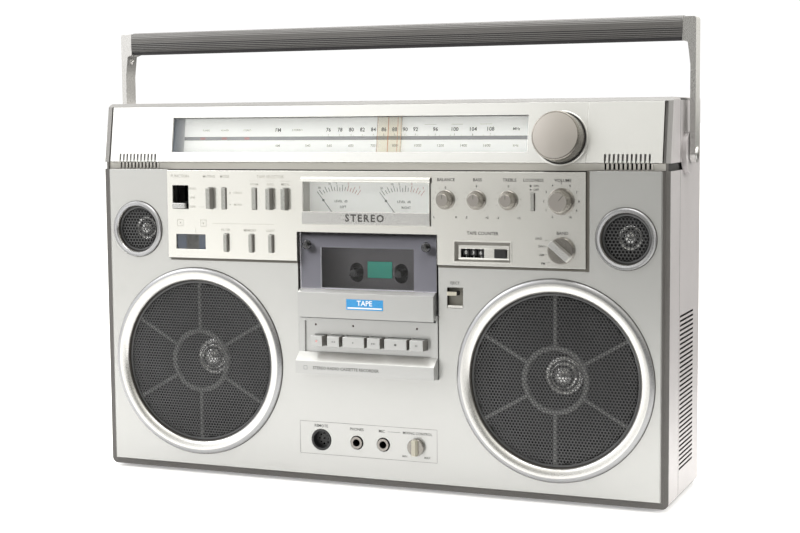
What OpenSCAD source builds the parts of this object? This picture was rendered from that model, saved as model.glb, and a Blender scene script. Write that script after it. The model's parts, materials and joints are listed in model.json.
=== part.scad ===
// Portable stereo radio cassette recorder. Each module is one separate piece.
// Cabinet frame: X across the front, Y from the front border into the case, Z up from the case's lower edge.

/* [Cabinet] */
// Width of the case
cabinet_w = 530; // [526:1:534]
// Height of the case without its feet
cabinet_h = 336; // [334:1:340]
// Depth of the case
cabinet_d = 125; // [122:1:130]
// Wall thickness of the case
wall = 4; // [3.5:0.5:4]
// Depth of the front half of the case
seam_y = 34.7; // [30:0.1:36]
// Lower edge of the groove between the two front panels
groove_z = 276.4; // [276:0.1:277]
// Height of that groove
groove_h = 6.3; // [6:0.1:6.5]
// Lean of the tuner front, in degrees
lean = 9; // [8:0.5:10]
// Radius of the rear upright edges
rear_r = 14; // [10:1:16]
// Height of the rubber feet
foot_h = 3; // [2:0.5:4]

/* [Front panels] */
// Border left around the panels
border = 4; // [3.5:0.5:4]
// Width of the silver panel on either side of the centre
panel_x = 258.4; // [258:0.1:258.6]
// How far the silver panel stands forward
panel_front = 3; // [2.5:0.5:3]
// Half width of the control panel
control_x = 196.2; // [196:0.1:196.5]
// Lower edge of the control panel
control_z = 196.3; // [196:0.1:197]
// How far the control panel stands forward
control_front = 5; // [4.5:0.5:5]

/* [Speakers] */
// Distance of each woofer from the centre line
woofer_x = 168.6; // [168:0.1:169]
// Height of the woofers
woofer_z = 101.7; // [101:0.1:103]
// Outer radius of the woofer trim ring
woofer_ring_r = 85.5; // [84:0.5:86]
// Radius of the woofer grille
woofer_grille_r = 73.5; // [72:0.5:74]
// Distance of each tweeter from the centre line
tweeter_x = 229.4; // [229:0.1:229.5]
// Height of the tweeters
tweeter_z = 221.5; // [221:0.1:222]
// Outer radius of the tweeter trim ring
tweeter_ring_r = 26.1; // [25:0.1:26.5]
// Radius of the tweeter grille
tweeter_grille_r = 21.8; // [21:0.1:22]

/* [Knobs] */
// Radius of the tuning knob
tuning_r = 20.5; // [19:0.5:21]
// Length of the tuning knob
tuning_len = 17; // [15:0.5:17]
// Radius of the three tone knobs at the panel
tone_r = 8.2; // [7.5:0.1:8.4]
// Radius of the volume knob at the panel
volume_r = 11; // [10:0.5:11]
// Radius of a knob's shaft
shaft_r = 3; // [2.5:0.5:3]
// Radial running clearance of a shaft in its bush
run_gap = 0.05; // [0.03:0.01:0.08]

/* [Tape deck] */
// Distance between the two spindles
hub_gap = 42.5; // [42.5:0.1:42.6]
// Height of the spindles
hub_z = 184.7; // [184:0.1:185]
// Depth of the well's back plate
well_y = 24; // [23:0.5:25]
// Half width of the door
door_x = 64; // [63.8:0.1:64]
// Height of the door's pivot
door_pivot_z = 150; // [150:0.1:150.4]
// Travel of a transport key
key_travel = 5; // [4:0.5:5]
// Travel of a push bar
bar_travel = 3.5; // [3:0.5:4]

/* [Handle] */
// Half width across the handle's arms
handle_x = 274.5; // [273:0.5:276]
// Height of the handle's pivots
handle_pivot_z = 290; // [289:0.5:291]
// Depth of the handle's pivots
handle_y = 55.5; // [54:0.5:57]
// Lower edge of the grip
grip_z = 382.5; // [380:0.5:384]
// Height of the grip
grip_h = 20.5; // [18:0.5:21]
// Depth of the grip
grip_d = 18; // [17:0.5:19]

/* [Power and aerial] */
// Half width of the battery compartment
battery_x = 128; // [126:1:129]
// Radius of the aerial's outer tube
aerial_r = 3.5; // [3:0.1:3.5]
// Length of the aerial's outer tube
aerial_len = 330; // [280:10:340]

/* [Hidden] */
$fn = 64;
slack = 0.01;
knob_edge = 1.4;
tuner_front = 1.3;
tuning_s = 20.5;
front_reach = (tuning_len + tuner_front) * cos(lean) - (tuning_s - tuning_r + knob_edge) * sin(lean);
front_y = -(cabinet_d + front_reach) / 2;
half_w = cabinet_w / 2;
groove_top = groove_z + groove_h;
baffle_y0 = 2.5;
baffle_y1 = 5.5;
rise = cabinet_h - groove_top;
slant_h = 50.4;
dial_x0 = -194;
dial_x1 = 144.5;
dial_s0 = 9;
dial_s1 = 40.4;
tuning_x = 173.1;
seam_x = 195;
pointer_x = 16;
control_top = 275.6;
door_top = 221.3;
well_x = 66.3;
deck_z = 97.4;
deck_top = 146.2;
hub_x = hub_gap / 2;
capstan = [30, 148.5];
motor_axis = [-40, 120];
flywheel_r = 28;
pulley_r = 5;
belt_t = 0.6;
wheel_y0 = 50;
wheel_y1 = 57;
counter_axis = [7, 207];
meter_pivot = [29.8, 231.2];
door_pivot_y = -2.5;
grip_mid_z = grip_z + grip_h / 2;
grip_x = 263;
arm_r = 8.2;
arm_in = 269.8;
hub_r = 17.5;
top_corner = 2.5;
bottom_corner = 5.5;
battery_z0 = 12;
battery_z1 = 86;
battery_y0 = 84;
cover_t = 3;
aerial_y = cabinet_d - 6.5;
aerial_z = cabinet_h - 6.5;
aerial_x = 238;
shelf_z = cabinet_h - 13;
knobs = [[74, 251.8, tone_r], [101.8, 251.8, tone_r], [129.9, 251.8, tone_r], [175.5, 251.5, volume_r]];
volume_y = 16;
band_at = [175.7, 211];
mixing_at = [45.2, 37.2];
upper_bars = [[-151.5, 6], [-138, 1.6], [-107.5, 1.6], [-91.5, 6], [-76.5, 6]];
lower_bars = [[-136.3, 3.2], [-110.9, 3.2], [-91.2, 3.2]];
upper_bar_z = [241.2, 260];
lower_bar_z = [203, 218.8];
loudness_x = 151;
loudness_z = [243.7, 258];
keys = [[-50.5, -39.4], [-34.8, -23.1], [-20, 0.7], [3.2, 15.5], [19.5, 40.4], [42.9, 55.5]];
key_z = [122.2, 131.6];
key_front = 12.5;
slide_x = [-190.9, -174.6];
slide_z = [240.8, 262];
eject_x = [74.3, 88.5];
eject_z = [159.6, 177.2];
phones_at = [-11.4, 37.1];
mic_at = [13.9, 37.1];
din_at = [-45.8, 37.4];
jack_r = 3.2;
jack_len = 32;
reset_x = [116.8, 127.4];
reset_z = [203.2, 210.2];

// Moves cabinet coordinates into the part's own frame.
module cab() {
    translate([0, front_y + front_reach, foot_h]) children();
}

// Coordinates on the leaning tuner front: Y into the case, Z up along the panel.
module slant() {
    translate([0, 0, groove_top]) rotate([-lean, 0, 0]) children();
}

// A box from its lowest to its highest corner.
module block(low, high) {
    translate(low) cube(high - low);
}

// A cylinder along Y from depth y0 to y1.
module rod_y(x, z, r, y0, y1) {
    translate([x, y0, z]) rotate([-90, 0, 0]) cylinder(h = y1 - y0, r = r);
}

// A cylinder along X.
module rod_x(y, z, r, x0, x1) {
    translate([x0, y, z]) rotate([0, 90, 0]) cylinder(h = x1 - x0, r = r);
}

// A turned shape about a Y axis: profile points are [radius, depth].
module turned_y(x, z, points) {
    translate([x, 0, z]) rotate([-90, 0, 0]) rotate_extrude($fn = 96) polygon(points);
}

// A plane figure with rounded corners, made from bars and discs.
module round_box2(w, h, r) {
    translate([-w / 2 + r, -h / 2]) square([w - 2 * r, h]);
    translate([-w / 2, -h / 2 + r]) square([w, h - 2 * r]);
    for (sx = [-1, 1], sz = [-1, 1])
        translate([sx * (w / 2 - r), sz * (h / 2 - r)]) circle(r);
}

// A figure drawn in X and Z, given depth from y0 to y1.
module plate_y(y0, y1) {
    translate([0, y1, 0]) rotate([90, 0, 0]) linear_extrude(y1 - y0) children();
}

// A figure drawn in Y and Z, given width from x0 to x1.
module plate_x(x0, x1) {
    translate([x0, 0, 0]) rotate([90, 0, 90]) linear_extrude(x1 - x0) children();
}

// The outside of the case, or its hollow when shrunk by i at the walls and f at the front.
module envelope(i, f) {
    top = cabinet_h - i;
    back = cabinet_d - i;
    step = rise * tan(lean);
    intersection() {
        plate_x(-half_w + i, half_w - i)
            polygon([[f, i], [back, i], [back, top], [step + f + 4, top], [step + f, top - 3], [f, groove_top]]);
        union() {
            block([-half_w + i, -1, -1], [half_w - i, back - rear_r + i, cabinet_h + 1]);
            block([-half_w + rear_r, -1, -1], [half_w - rear_r, back, cabinet_h + 1]);
            for (s = [-1, 1])
                translate([s * (half_w - rear_r), cabinet_d - rear_r, -1])
                    cylinder(h = cabinet_h + 2, r = rear_r - i);
        }
    }
}

// Round corners cut on the four long edges of the case.
module edge_cut() {
    difference() {
        block([-half_w - 1, -2, -1], [half_w + 1, cabinet_d + 1, cabinet_h + 1]);
        plate_y(-4, cabinet_d + 2) case_outline();
    }
}

// The front outline of the case, with small corners at the top and larger ones at the bottom.
module case_outline() {
    translate([-half_w, bottom_corner]) square([cabinet_w, cabinet_h - bottom_corner - top_corner]);
    translate([-half_w + bottom_corner, 0]) square([cabinet_w - 2 * bottom_corner, cabinet_h - top_corner]);
    translate([-half_w + top_corner, bottom_corner]) square([cabinet_w - 2 * top_corner, cabinet_h - bottom_corner]);
    for (s = [-1, 1]) {
        translate([s * (half_w - top_corner), cabinet_h - top_corner]) circle(top_corner);
        translate([s * (half_w - bottom_corner), bottom_corner]) circle(bottom_corner);
    }
}

// Comb of slots for the built-in microphones, on both sides.
module comb(z0, z1, y0, y1) {
    for (s = [-1, 1], n = [0:10])
        block([s * 229.5 - 19.3 + n * 3.7, y0, z0], [s * 229.5 - 17.7 + n * 3.7, y1, z1]);
}

// Openings that pass through the baffle behind the panels.
module baffle_holes() {
    for (s = [-1, 1]) {
        rod_y(s * woofer_x, woofer_z, 78, -9, 9);
        rod_y(s * tweeter_x, tweeter_z, 23, -9, 9);
    }
    block([-well_x, -9, deck_z - 0.2], [well_x, 9, door_top + 0.8]);
    for (k = knobs) rod_y(k[0], k[1], shaft_r + 1, -9, 9);
    rod_y(band_at[0], band_at[1], shaft_r + 1, -9, 9);
    rod_y(mixing_at[0], mixing_at[1], shaft_r + 1, -9, 9);
    for (b = upper_bars) bar_hole(b[0], 2.2, upper_bar_z);
    for (b = lower_bars) bar_hole(b[0], 1.8, lower_bar_z);
    bar_hole(loudness_x, 1.6, loudness_z);
    block([-60.4, -9, 228.9], [60.4, 9, 270.1]);
    block([slide_x[0], -9, slide_z[0]], [slide_x[1], 9, slide_z[1]]);
    block([-188, -9, 204.2], [-157.8, 9, 217.8]);
    block([81.4, -9, 199.3], [132.4, 9, 217.3]);
    block([eject_x[0], -9, eject_z[0]], [eject_x[1], 9, eject_z[1]]);
    rod_y(phones_at[0], phones_at[1], 6, -9, 9);
    rod_y(mic_at[0], mic_at[1], 6, -9, 9);
    rod_y(din_at[0], din_at[1], 9.5, -9, 9);
}

module bar_hole(x, half, z) {
    block([x - half - 0.35, -9, z[0] - 0.35], [x + half + 0.35, 9, z[1] + 0.35]);
}

module dial_hole(y0, y1) {
    block([dial_x0, y0, dial_s0], [dial_x1, y1, dial_s1]);
}

module front_cabinet() {
    color("#56514e") cab() difference() {
        intersection() {
            envelope(0, 0);
            block([-half_w - 1, -1, -1], [half_w + 1, seam_y, cabinet_h + 1]);
        }
        envelope(wall, baffle_y1);
        edge_cut();
        block([-half_w + border, -1, border], [half_w - border, baffle_y0, groove_top]);
        slant() block([-half_w + border, -2, -3], [half_w - border, baffle_y0, slant_h + 0.5]);
        groove_ring(-1, seam_y + 1);
        baffle_holes();
        slant() dial_hole(-9, 9);
        slant() rod_y(tuning_x, tuning_s, shaft_r + 1, -9, 9);
        comb(277.5, 282, -2, 9);
    }
}

// The shallow groove that runs round the front and sides.
module groove_ring(y0, y1) {
    for (s = [-1, 1])
        block([s * half_w - 2, y0, groove_z], [s * half_w + 2, y1, groove_top]);
}

module rear_cabinet() {
    color("#b9b5b6") cab() {
        difference() {
            intersection() {
                envelope(0, 0);
                block([-half_w - 1, seam_y, -1], [half_w + 1, cabinet_d + 1, cabinet_h + 1]);
            }
            envelope(wall, baffle_y1);
            edge_cut();
            seam_groove();
            groove_ring(seam_y - 1, 84);
            side_vents();
            aerial_shelf();
            aerial_bush();
            block([-battery_x - 3, cabinet_d - cover_t - 0.4, battery_z0 - 2.6],
                [battery_x + 3, cabinet_d + 1, battery_z1 + 2.4]);
            block([-battery_x, battery_y0, battery_z0], [battery_x, cabinet_d + 1, battery_z1]);
            for (p = screw_places) rod_y(p[0], p[1], 4.4, cabinet_d - 3, cabinet_d + 1);
            for (s = [-1, 1]) rod_x(handle_y, handle_pivot_z, 4 + run_gap, s * 261 - 12, s * 261 + 12);
            for (n = [0:3]) rod_y(-206 + n * 16, 226, 4.6, cabinet_d - 9, cabinet_d + 1);
            block([181, cabinet_d - 9, 40], [199, cabinet_d + 1, 50]);
            for (s = [-1, 1], n = [0:11])
                block([s * 110 - 62 + n * 11, cabinet_d - 9, 236], [s * 110 - 58 + n * 11, cabinet_d + 1, 300]);
        }
        aerial_tray();
        battery_tub();
        for (s = [-1, 1]) handle_boss(s);
    }
}

screw_places = [for (x = [-236, 0, 236], z = [104, 312]) [x, z]];

// Fine line where the two halves of the case meet.
module seam_groove() {
    difference() {
        block([-half_w - 1, seam_y - slack, -1], [half_w + 1, seam_y + 0.8, cabinet_h + 1]);
        block([-half_w + 0.6, seam_y - 1, 0.6], [half_w - 0.6, seam_y + 1, cabinet_h - 0.6]);
    }
}

module side_vents() {
    for (s = [-1, 1], n = [0:33])
        block([s * half_w - 6, 38, 25 + n * 3.9], [s * half_w + 6, 89, 26.8 + n * 3.9]);
}

// Step along the top rear edge that takes the aerial.
module aerial_shelf() {
    block([-half_w - 1, cabinet_d - 13, shelf_z], [aerial_x + 9, cabinet_d + 1, cabinet_h + 1]);
}

// The walls under and in front of that step, with the bush for the aerial's swivel.
module aerial_tray() {
    difference() {
        intersection() {
            envelope(0, 0);
            block([-half_w - 1, cabinet_d - 13 - wall, shelf_z - wall],
                [aerial_x + 9 + wall, cabinet_d - 2, cabinet_h - 2]);
        }
        edge_cut();
        aerial_shelf();
        aerial_bush();
    }
}

// Hole for the stem of the aerial's swivel.
module aerial_bush() {
    translate([aerial_x, aerial_y, shelf_z - 9]) cylinder(h = 10, r = 3 + run_gap);
}

// Walls of the battery compartment inside the case.
module battery_tub() {
    difference() {
        block([-battery_x - 2, battery_y0 - 2, battery_z0 - 2], [battery_x + 2, cabinet_d - wall, battery_z1 + 2]);
        block([-battery_x, battery_y0, battery_z0], [battery_x, cabinet_d, battery_z1]);
    }
}

module handle_boss(s) {
    x = s * (half_w - wall - 3);
    hub = s * (half_w + arm_in - 1) / 2;
    difference() {
        union() {
            rod_x(handle_y, handle_pivot_z, 10, x - 3, x + 3);
            rod_x(handle_y, handle_pivot_z, hub_r, hub - 2.2, hub + 2.2);
        }
        rod_x(handle_y, handle_pivot_z, 4 + run_gap, x - 6, x + 6);
        rod_x(handle_y, handle_pivot_z, 4 + run_gap, hub - 3, hub + 3);
    }
}

module front_panel() {
    color("#c4c3c1") cab() difference() {
        block([-panel_x, -panel_front, 6], [panel_x, baffle_y0, groove_z]);
        difference() {
            block([-panel_x + 2, -panel_front + 2, 8], [panel_x - 2, baffle_y0 + 1, groove_z + 1]);
            panel_collars();
        }
        for (s = [-1, 1]) {
            rod_y(s * woofer_x, woofer_z, 82, -9, 9);
            rod_y(s * tweeter_x, tweeter_z, 24.4, -9, 9);
        }
        block([-control_x - 0.4, -9, control_z - 0.4], [control_x + 0.4, 9, groove_z + 1]);
        block([-well_x, -9, deck_z - 0.2], [well_x, 9, groove_z]);
        block([eject_x[0], -9, eject_z[0]], [eject_x[1], 9, eject_z[1]]);
        rod_y(phones_at[0], phones_at[1], 6, -9, 9);
        rod_y(mic_at[0], mic_at[1], 6, -9, 9);
        rod_y(din_at[0], din_at[1], 9.5, -9, 9);
        rod_y(mixing_at[0], mixing_at[1], shaft_r + 1, -9, 9);
    }
}

// Stiffening walls behind the silver panel, around its openings.
module panel_collars() {
    for (s = [-1, 1]) {
        rod_y(s * woofer_x, woofer_z, 84, -9, 9);
        rod_y(s * tweeter_x, tweeter_z, 26, -9, 9);
    }
    block([-control_x - 2, -9, control_z - 2], [control_x + 2, 9, groove_z]);
    block([-well_x - 1.6, -9, deck_z - 2], [well_x + 1.6, 9, control_z]);
    block([eject_x[0] - 1.6, -9, eject_z[0] - 1.6], [eject_x[1] + 1.6, 9, eject_z[1] + 1.6]);
    block([-66, -9, 24], [64, 9, 53]);
}

module tuner_panel() {
    color("#dcdad5") cab() slant() difference() {
        block([-panel_x, -tuner_front, 0.3], [panel_x, baffle_y0, slant_h]);
        difference() {
            block([-panel_x + 2, 0.7, 2], [panel_x - 2, baffle_y0 + 1, slant_h - 2]);
            block([tuning_x - 8, 0, tuning_s - 8], [tuning_x + 8, 3, tuning_s + 8]);
        }
        dial_hole(-9, 9);
        rod_y(tuning_x, tuning_s, shaft_r + 1, -9, 9);
        comb(-1, 7.4, -2, 1);
        block([seam_x, -2, 0], [seam_x + 0.5, 0.6 - tuner_front, slant_h + 1]);
    }
}

module control_panel() {
    color("#d6d3cb") cab() difference() {
        block([-control_x, -control_front, control_z], [control_x, baffle_y0, control_top]);
        difference() {
            block([-control_x + 2, -3, control_z + 2], [control_x - 2, baffle_y0 + 1, control_top - 2]);
            block([-well_x - 2, -9, control_z], [well_x + 2, 9, door_top + 3]);
            block([-62, -9, 227], [62, 9, 273]);
        }
        baffle_holes();
    }
}

module clear_windows() {
    color("#d9dde0", 0.5) cab() {
        slant() block([dial_x0 - 2, 0.7, dial_s0 - 2], [dial_x1 + 2, 2.2, dial_s1 + 2]);
        block([-59, -4.6, 240.4], [59, -3.4, 266]);
        block([-187.5, -4, 204.6], [-158.2, -2.8, 217.4]);
    }
}

module dial_scale() {
    color("#b9bab8") cab() slant() {
        block([dial_x0 - 4, 9.5, dial_s0 - 4], [dial_x1 + 4, 11, dial_s1 + 3]);
        for (x = [dial_x0 - 3.5, dial_x1 + 0.5]) block([x, baffle_y1, dial_s0 - 3.5], [x + 3, 9.5, dial_s0 - 0.5]);
    }
}

module meter_unit() {
    color("#e6e4dc") cab() {
        difference() {
            block([-60.2, -6.6, 229.1], [60.2, 12, 269.9]);
            block([-59.2, -7, 240.2], [59.2, 8.4, 266.2]);
            block([-59.2, -4.4, 230.8], [59.2, 8.4, 240.8]);
        }
        for (s = [-1, 1]) difference() {
            rod_y(s * meter_pivot[0], meter_pivot[1] + 1.6, 3.2, 3.4, 8.6);
            rod_y(s * meter_pivot[0], meter_pivot[1] + 1.6, 0.6 + run_gap, 3, 9);
        }
    }
}

module deck_fascia() {
    color("#cfccc4") cab() {
        difference() {
            union() {
                block([-65.8, -2.5, deck_z], [65.8, baffle_y0, deck_top]);
                block([-65.8, -4.2, deck_z], [-60, 0, deck_top]);
                block([59.6, -4.2, deck_z], [65.8, 0, deck_top]);
                block([-65.8, -4.2, 143.8], [65.8, 0, deck_top]);
                plate_x(-65.4, 65.4)
                    polygon([[0, deck_z], [-13, deck_z + 0.4], [-13, 109], [-4.4, 116.2], [0, 116.2]]);
            }
            for (k = keys)
                block([k[0] - 0.35, -9, key_z[0] - 0.35], [k[1] + 0.35, 9, key_z[1] + 0.35]);
            for (x = [-50, -13.9, 46.2]) rod_y(x, 140.2, 1, -4, -1.5);
        }
        for (s = [-1, 1]) {
            block([min(s * 64.3, s * 65.8), -4.2, deck_top - slack], [max(s * 64.3, s * 65.8), -0.6, 152.2]);
            rod_x(door_pivot_y, door_pivot_z, 1.5, min(s * 61, s * 65), max(s * 61, s * 65));
        }
    }
}

module speaker_rings() {
    color("#c9c8c4") cab() for (s = [-1, 1]) {
        ring_trim(s * woofer_x, woofer_z, woofer_ring_r, woofer_grille_r, 6.2, 81.7);
        ring_trim(s * tweeter_x, tweeter_z, tweeter_ring_r, tweeter_grille_r, 5.4, 24.2);
    }
}

// One trim ring: a rounded face with a collar that drops through the panel.
module ring_trim(x, z, outer, inner, front, collar) {
    turned_y(x, z, [
        [inner, baffle_y0], [inner, -front + 3.4], [inner + 0.8, -front + 1.6], [inner + 2.4, -front + 0.4],
        [(inner + outer) / 2, -front], [outer - 1.2, -front + 1], [outer, -front + 2.4], [outer, -panel_front],
        [collar, -panel_front], [collar, baffle_y0]
    ]);
}

module speaker_grilles() {
    color("#3a393a") cab() for (s = [-1, 1]) {
        rod_y(s * woofer_x, woofer_z, woofer_grille_r, -0.6, 0.6);
        rod_y(s * tweeter_x, tweeter_z, tweeter_grille_r, -0.6, 0.6);
        difference() {
            rod_y(s * woofer_x, woofer_z, 29, -1.4, 0);
            rod_y(s * woofer_x, woofer_z, 24.6, -2, 1);
        }
    }
}

module speaker_drivers() {
    color("#47464a") cab() for (s = [-1, 1]) {
        turned_y(s * woofer_x, woofer_z, [
            [0, 19], [8, 20.5], [15, 26], [17, 31], [60, 12], [63, 10], [67, 9], [70, 10.5], [72, 6.5], [80, 6.5],
            [80, 9], [74, 12], [42, 48], [42, 52], [40, 52], [40, 70], [0, 70]
        ]);
        turned_y(s * tweeter_x, tweeter_z, [
            [0, 7], [5, 8.4], [9, 12.5], [10, 13.5], [19, 8.5], [21, 6.5], [25, 6.5], [25, 9], [20, 14], [20, 34],
            [0, 34]
        ]);
    }
}

module rubber_feet() {
    color("#2a2a2a") cab() for (x = [-230, 230], y = [20, 104])
        translate([x, y, -foot_h]) cylinder(h = foot_h, r = 9);
}

module deck_chassis() {
    color("#4b4a4c") cab() {
        difference() {
            union() {
                block([-66, well_y, 100], [66, well_y + 2, 222]);
                for (s = [-1, 1]) block([min(s * 57, s * 59), 6, 153], [max(s * 57, s * 59), well_y, 222]);
                block([-59, 6, 219.5], [59, well_y, 222]);
            }
            for (s = [-1, 1]) {
                rod_y(s * hub_x, hub_z - 2.6, 6.2, well_y - 1, well_y + 3);
                rod_y(s * hub_x, hub_z + 2.6, 6.2, well_y - 1, well_y + 3);
                block([s * hub_x - 6.2, well_y - 1, hub_z - 2.6], [s * hub_x + 6.2, well_y + 3, hub_z + 2.6]);
            }
            rod_y(capstan[0], capstan[1], 1.6, well_y - 1, well_y + 3);
        }
        difference() {
            block([-66, 44, 100], [66, 46, 222]);
            for (s = [-1, 1]) rod_y(s * hub_x, hub_z, 1.5 + run_gap, 43, 47);
            rod_y(capstan[0], capstan[1], 1.2 + run_gap, 43, 47);
            rod_y(motor_axis[0], motor_axis[1], 4, 43, 47);
        }
        for (x = [-61, 61], z = [105, 217]) rod_y(x, z, 3, well_y + 2, 44);
        difference() {
            rod_y(motor_axis[0], motor_axis[1], 15, 28, 44);
            rod_y(motor_axis[0], motor_axis[1], 1 + run_gap, 36, 45);
        }
        for (x = [84, 108.4]) difference() {
            block([x, 0.5, 200], [x + 1.6, 16, 214]);
            rod_x(counter_axis[0], counter_axis[1], 1.5 + run_gap, x - 1, x + 3);
        }
        block([84, 16, 200], [110, 17.5, 214]);
    }
}

module tape_heads() {
    color("#a8a8a6") cab() {
        block([-42, 10, 138.2], [22, well_y, 140]);
        block([-6.5, 10, 140], [6.5, 19, 149.6]);
        block([-34, 11, 140], [-27, 18, 149]);
        rod_y(17.5, 144.6, 4.4, 11, 18);
    }
}

module electronics() {
    color("#3f6b45") cab() {
        block([-190, 62, 226], [140, 63.6, 276]);
        slant() block([-190, 36, 4], [150, 37.6, 40]);
        block([-150, 17, 232], [-70, 34, 268]);
        block([-150, 17, 200], [-80, 34, 221]);
        for (k = knobs) pot_body(k[0], k[1]);
        pot_body(band_at[0], band_at[1]);
        pot_body(mixing_at[0], mixing_at[1]);
        slant() pot_body(tuning_x, tuning_s);
        block([150, 64, 150], [204, 108, 204]);
        block([-204, 64, 150], [-192, 108, 204]);
    }
}

// A control's body with the bush that carries the knob's shaft.
module pot_body(x, z) {
    difference() {
        rod_y(x, z, 8, baffle_y1 + 0.5, 18);
        rod_y(x, z, shaft_r + run_gap, 0, 16.5);
    }
}

module drive_belt() {
    color("#1d1d1f") cab() plate_y(wheel_y0 + 2, wheel_y0 + 5) difference() {
        belt_outline(0.35 + belt_t);
        belt_outline(0.35);
    }
}

// The belt's path round both pulleys, at a distance from their rims.
module belt_outline(d) {
    hull() {
        translate(capstan) circle(flywheel_r + d, $fn = 72);
        translate(motor_axis) circle(pulley_r + d, $fn = 32);
    }
}

module jack_sockets() {
    color("#55524f") cab() {
        for (p = [phones_at, mic_at]) difference() {
            union() {
                rod_y(p[0], p[1], 5.4, -4.4, jack_len);
                rod_y(p[0], p[1], 8.5, baffle_y1, jack_len);
            }
            rod_y(p[0], p[1], jack_r, -5, jack_len - 2);
        }
        difference() {
            rod_y(din_at[0], din_at[1], 9.3, -3.4, 22);
            rod_y(din_at[0], din_at[1], 7.6, -4, 3);
            for (a = [-90:45:90]) rod_y(din_at[0] + 4.6 * sin(a), din_at[1] - 4.6 * cos(a), 0.9, 2, 10);
        }
        for (n = [0:3]) difference() {
            rod_y(-206 + n * 16, 226, 4.4, cabinet_d - 12, cabinet_d - 1.2);
            rod_y(-206 + n * 16, 226, 2.1, cabinet_d - 11, cabinet_d);
        }
        difference() {
            block([181.2, cabinet_d - 16, 40.2], [198.8, cabinet_d - 1, 49.8]);
            block([183, cabinet_d - 14, 42], [197, cabinet_d, 48]);
        }
    }
}

module case_screws() {
    color("#2c2c2e") cab() for (p = screw_places) difference() {
        rod_y(p[0], p[1], 4, cabinet_d - 3, cabinet_d - 0.8);
        block([p[0] - 2.6, cabinet_d - 1.8, p[1] - 0.5], [p[0] + 2.6, cabinet_d, p[1] + 0.5]);
        block([p[0] - 0.5, cabinet_d - 1.8, p[1] - 2.6], [p[0] + 0.5, cabinet_d, p[1] + 2.6]);
    }
}

module handle_grip() {
    color("#4e4c4b") cab() translate([-grip_x, handle_y, grip_mid_z]) rotate([90, 0, 90])
        linear_extrude(2 * grip_x) round_box2(grip_d, grip_h, 6);
}

module handle_arms() {
    color("#b4b3b1") cab() for (s = [-1, 1]) {
        mirror([s < 0 ? 1 : 0, 0, 0]) {
            arm_plate();
            rod_x(handle_y, handle_pivot_z, 4, 257, arm_in + 1);
        }
    }
}

// Right arm: thin beside the case, thicker where it carries the grip.
module arm_plate() {
    top = grip_z + grip_h - 1;
    intersection() {
        plate_y(handle_y - 9, handle_y + 9) polygon([
            [arm_in, 270], [handle_x, 270], [handle_x, top - 2], [handle_x - 0.6, top - 0.6], [handle_x - 2, top],
            [grip_x, top], [grip_x, grip_z], [arm_in - 2.3, grip_z - 1.5], [arm_in, 362]
        ]);
        union() {
            block([255, handle_y - arm_r, handle_pivot_z], [280, handle_y + arm_r, top]);
            rod_x(handle_y, handle_pivot_z, arm_r, 255, 280);
        }
    }
}

module tuning_knob() {
    color("#a59d94") cab() slant() {
        turned_y(tuning_x, tuning_s, [
            [0, -tuner_front - tuning_len], [tuning_r - knob_edge, -tuner_front - tuning_len],
            [tuning_r - 0.4, 0.4 - tuner_front - tuning_len], [tuning_r, -tuning_len], [tuning_r, -1.8], [0, -1.8]
        ]);
        rod_y(tuning_x, tuning_s, shaft_r, -2, 16);
    }
}

module dial_pointer() {
    color("#d9722e") cab() slant() {
        block([pointer_x - 11, 6.8, dial_s0 - 1], [pointer_x + 12, 8, dial_s1 + 3]);
        block([pointer_x - 7, 6.8, dial_s1 + 2.6], [pointer_x + 7, 9.1, dial_s1 + 6]);
    }
}

// A tapered control knob with a shaft into its bush.
module taper_knob(at, base_r, face_r, face_y) {
    turned_y(at[0], at[1], [
        [0, -face_y], [face_r - 0.5, -face_y], [face_r, -face_y + 0.5], [base_r - 0.8, -control_front - 1.6],
        [base_r, -control_front - 1.4], [base_r, -control_front - 0.4], [0, -control_front - 0.4]
    ]);
    rod_y(at[0], at[1], shaft_r, -control_front - 1, 15.5);
}

module volume_knob() {
    color("#a29b93") cab() difference() {
        taper_knob(knobs[3], volume_r, 7.8, volume_y);
        translate([knobs[3][0], 0, knobs[3][1]]) rotate([0, 40, 0])
            block([-0.5, -volume_y - 1, 1.5], [0.5, -volume_y + 0.7, 9]);
    }
}

module balance_knob() {
    color("#a29b93") cab() taper_knob(knobs[0], tone_r, 5.2, 14);
}

module bass_knob() {
    color("#a29b93") cab() taper_knob(knobs[1], tone_r, 5.2, 14);
}

module treble_knob() {
    color("#a29b93") cab() taper_knob(knobs[2], tone_r, 5.2, 14);
}

// A disc knob with a bar grip, turned by angle from upright.
module bar_knob(at, r, back, front, angle) {
    rod_y(at[0], at[1], r, -back - 3.4, -back);
    rod_y(at[0], at[1], shaft_r, -back - 1, 15.5);
    translate([at[0], 0, at[1]]) rotate([0, angle, 0]) intersection() {
        block([-r * 0.34, -front, -r - 1], [r * 0.34, -back - 3, r + 1]);
        rod_y(0, 0, r - 0.2, -front, -back);
    }
}

module band_knob() {
    color("#b1aba3") cab() bar_knob(band_at, 11.2, control_front + 0.4, 14, -50);
}

module mixing_knob() {
    color("#a8a193") cab() bar_knob(mixing_at, 7.6, panel_front + 0.5, 11, 0);
}

module function_lever() {
    color("#b9b7b2") cab() {
        block([-189.8, -8.6, 241.4], [-176.4, -5.4, 246]);
        block([-186.2, -6, 242.2], [-179.8, 9, 245.2]);
        block([-190, 7, 241.2], [-176, 9, 246.8]);
    }
}

// A push bar of a given half width: proud says how far it stands out of the control panel.
module push_bar(x, half, z, proud) {
    block([x - half, -control_front - proud, z[0]], [x + half, 9.5 - proud / 2, z[1]]);
}

module muting_button() {
    color("#a9a7a3") cab() push_bar(upper_bars[0][0], 2.2, upper_bar_z, upper_bars[0][1]);
}

module mode_button() {
    color("#a9a7a3") cab() push_bar(upper_bars[1][0], 2.2, upper_bar_z, upper_bars[1][1]);
}

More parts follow.
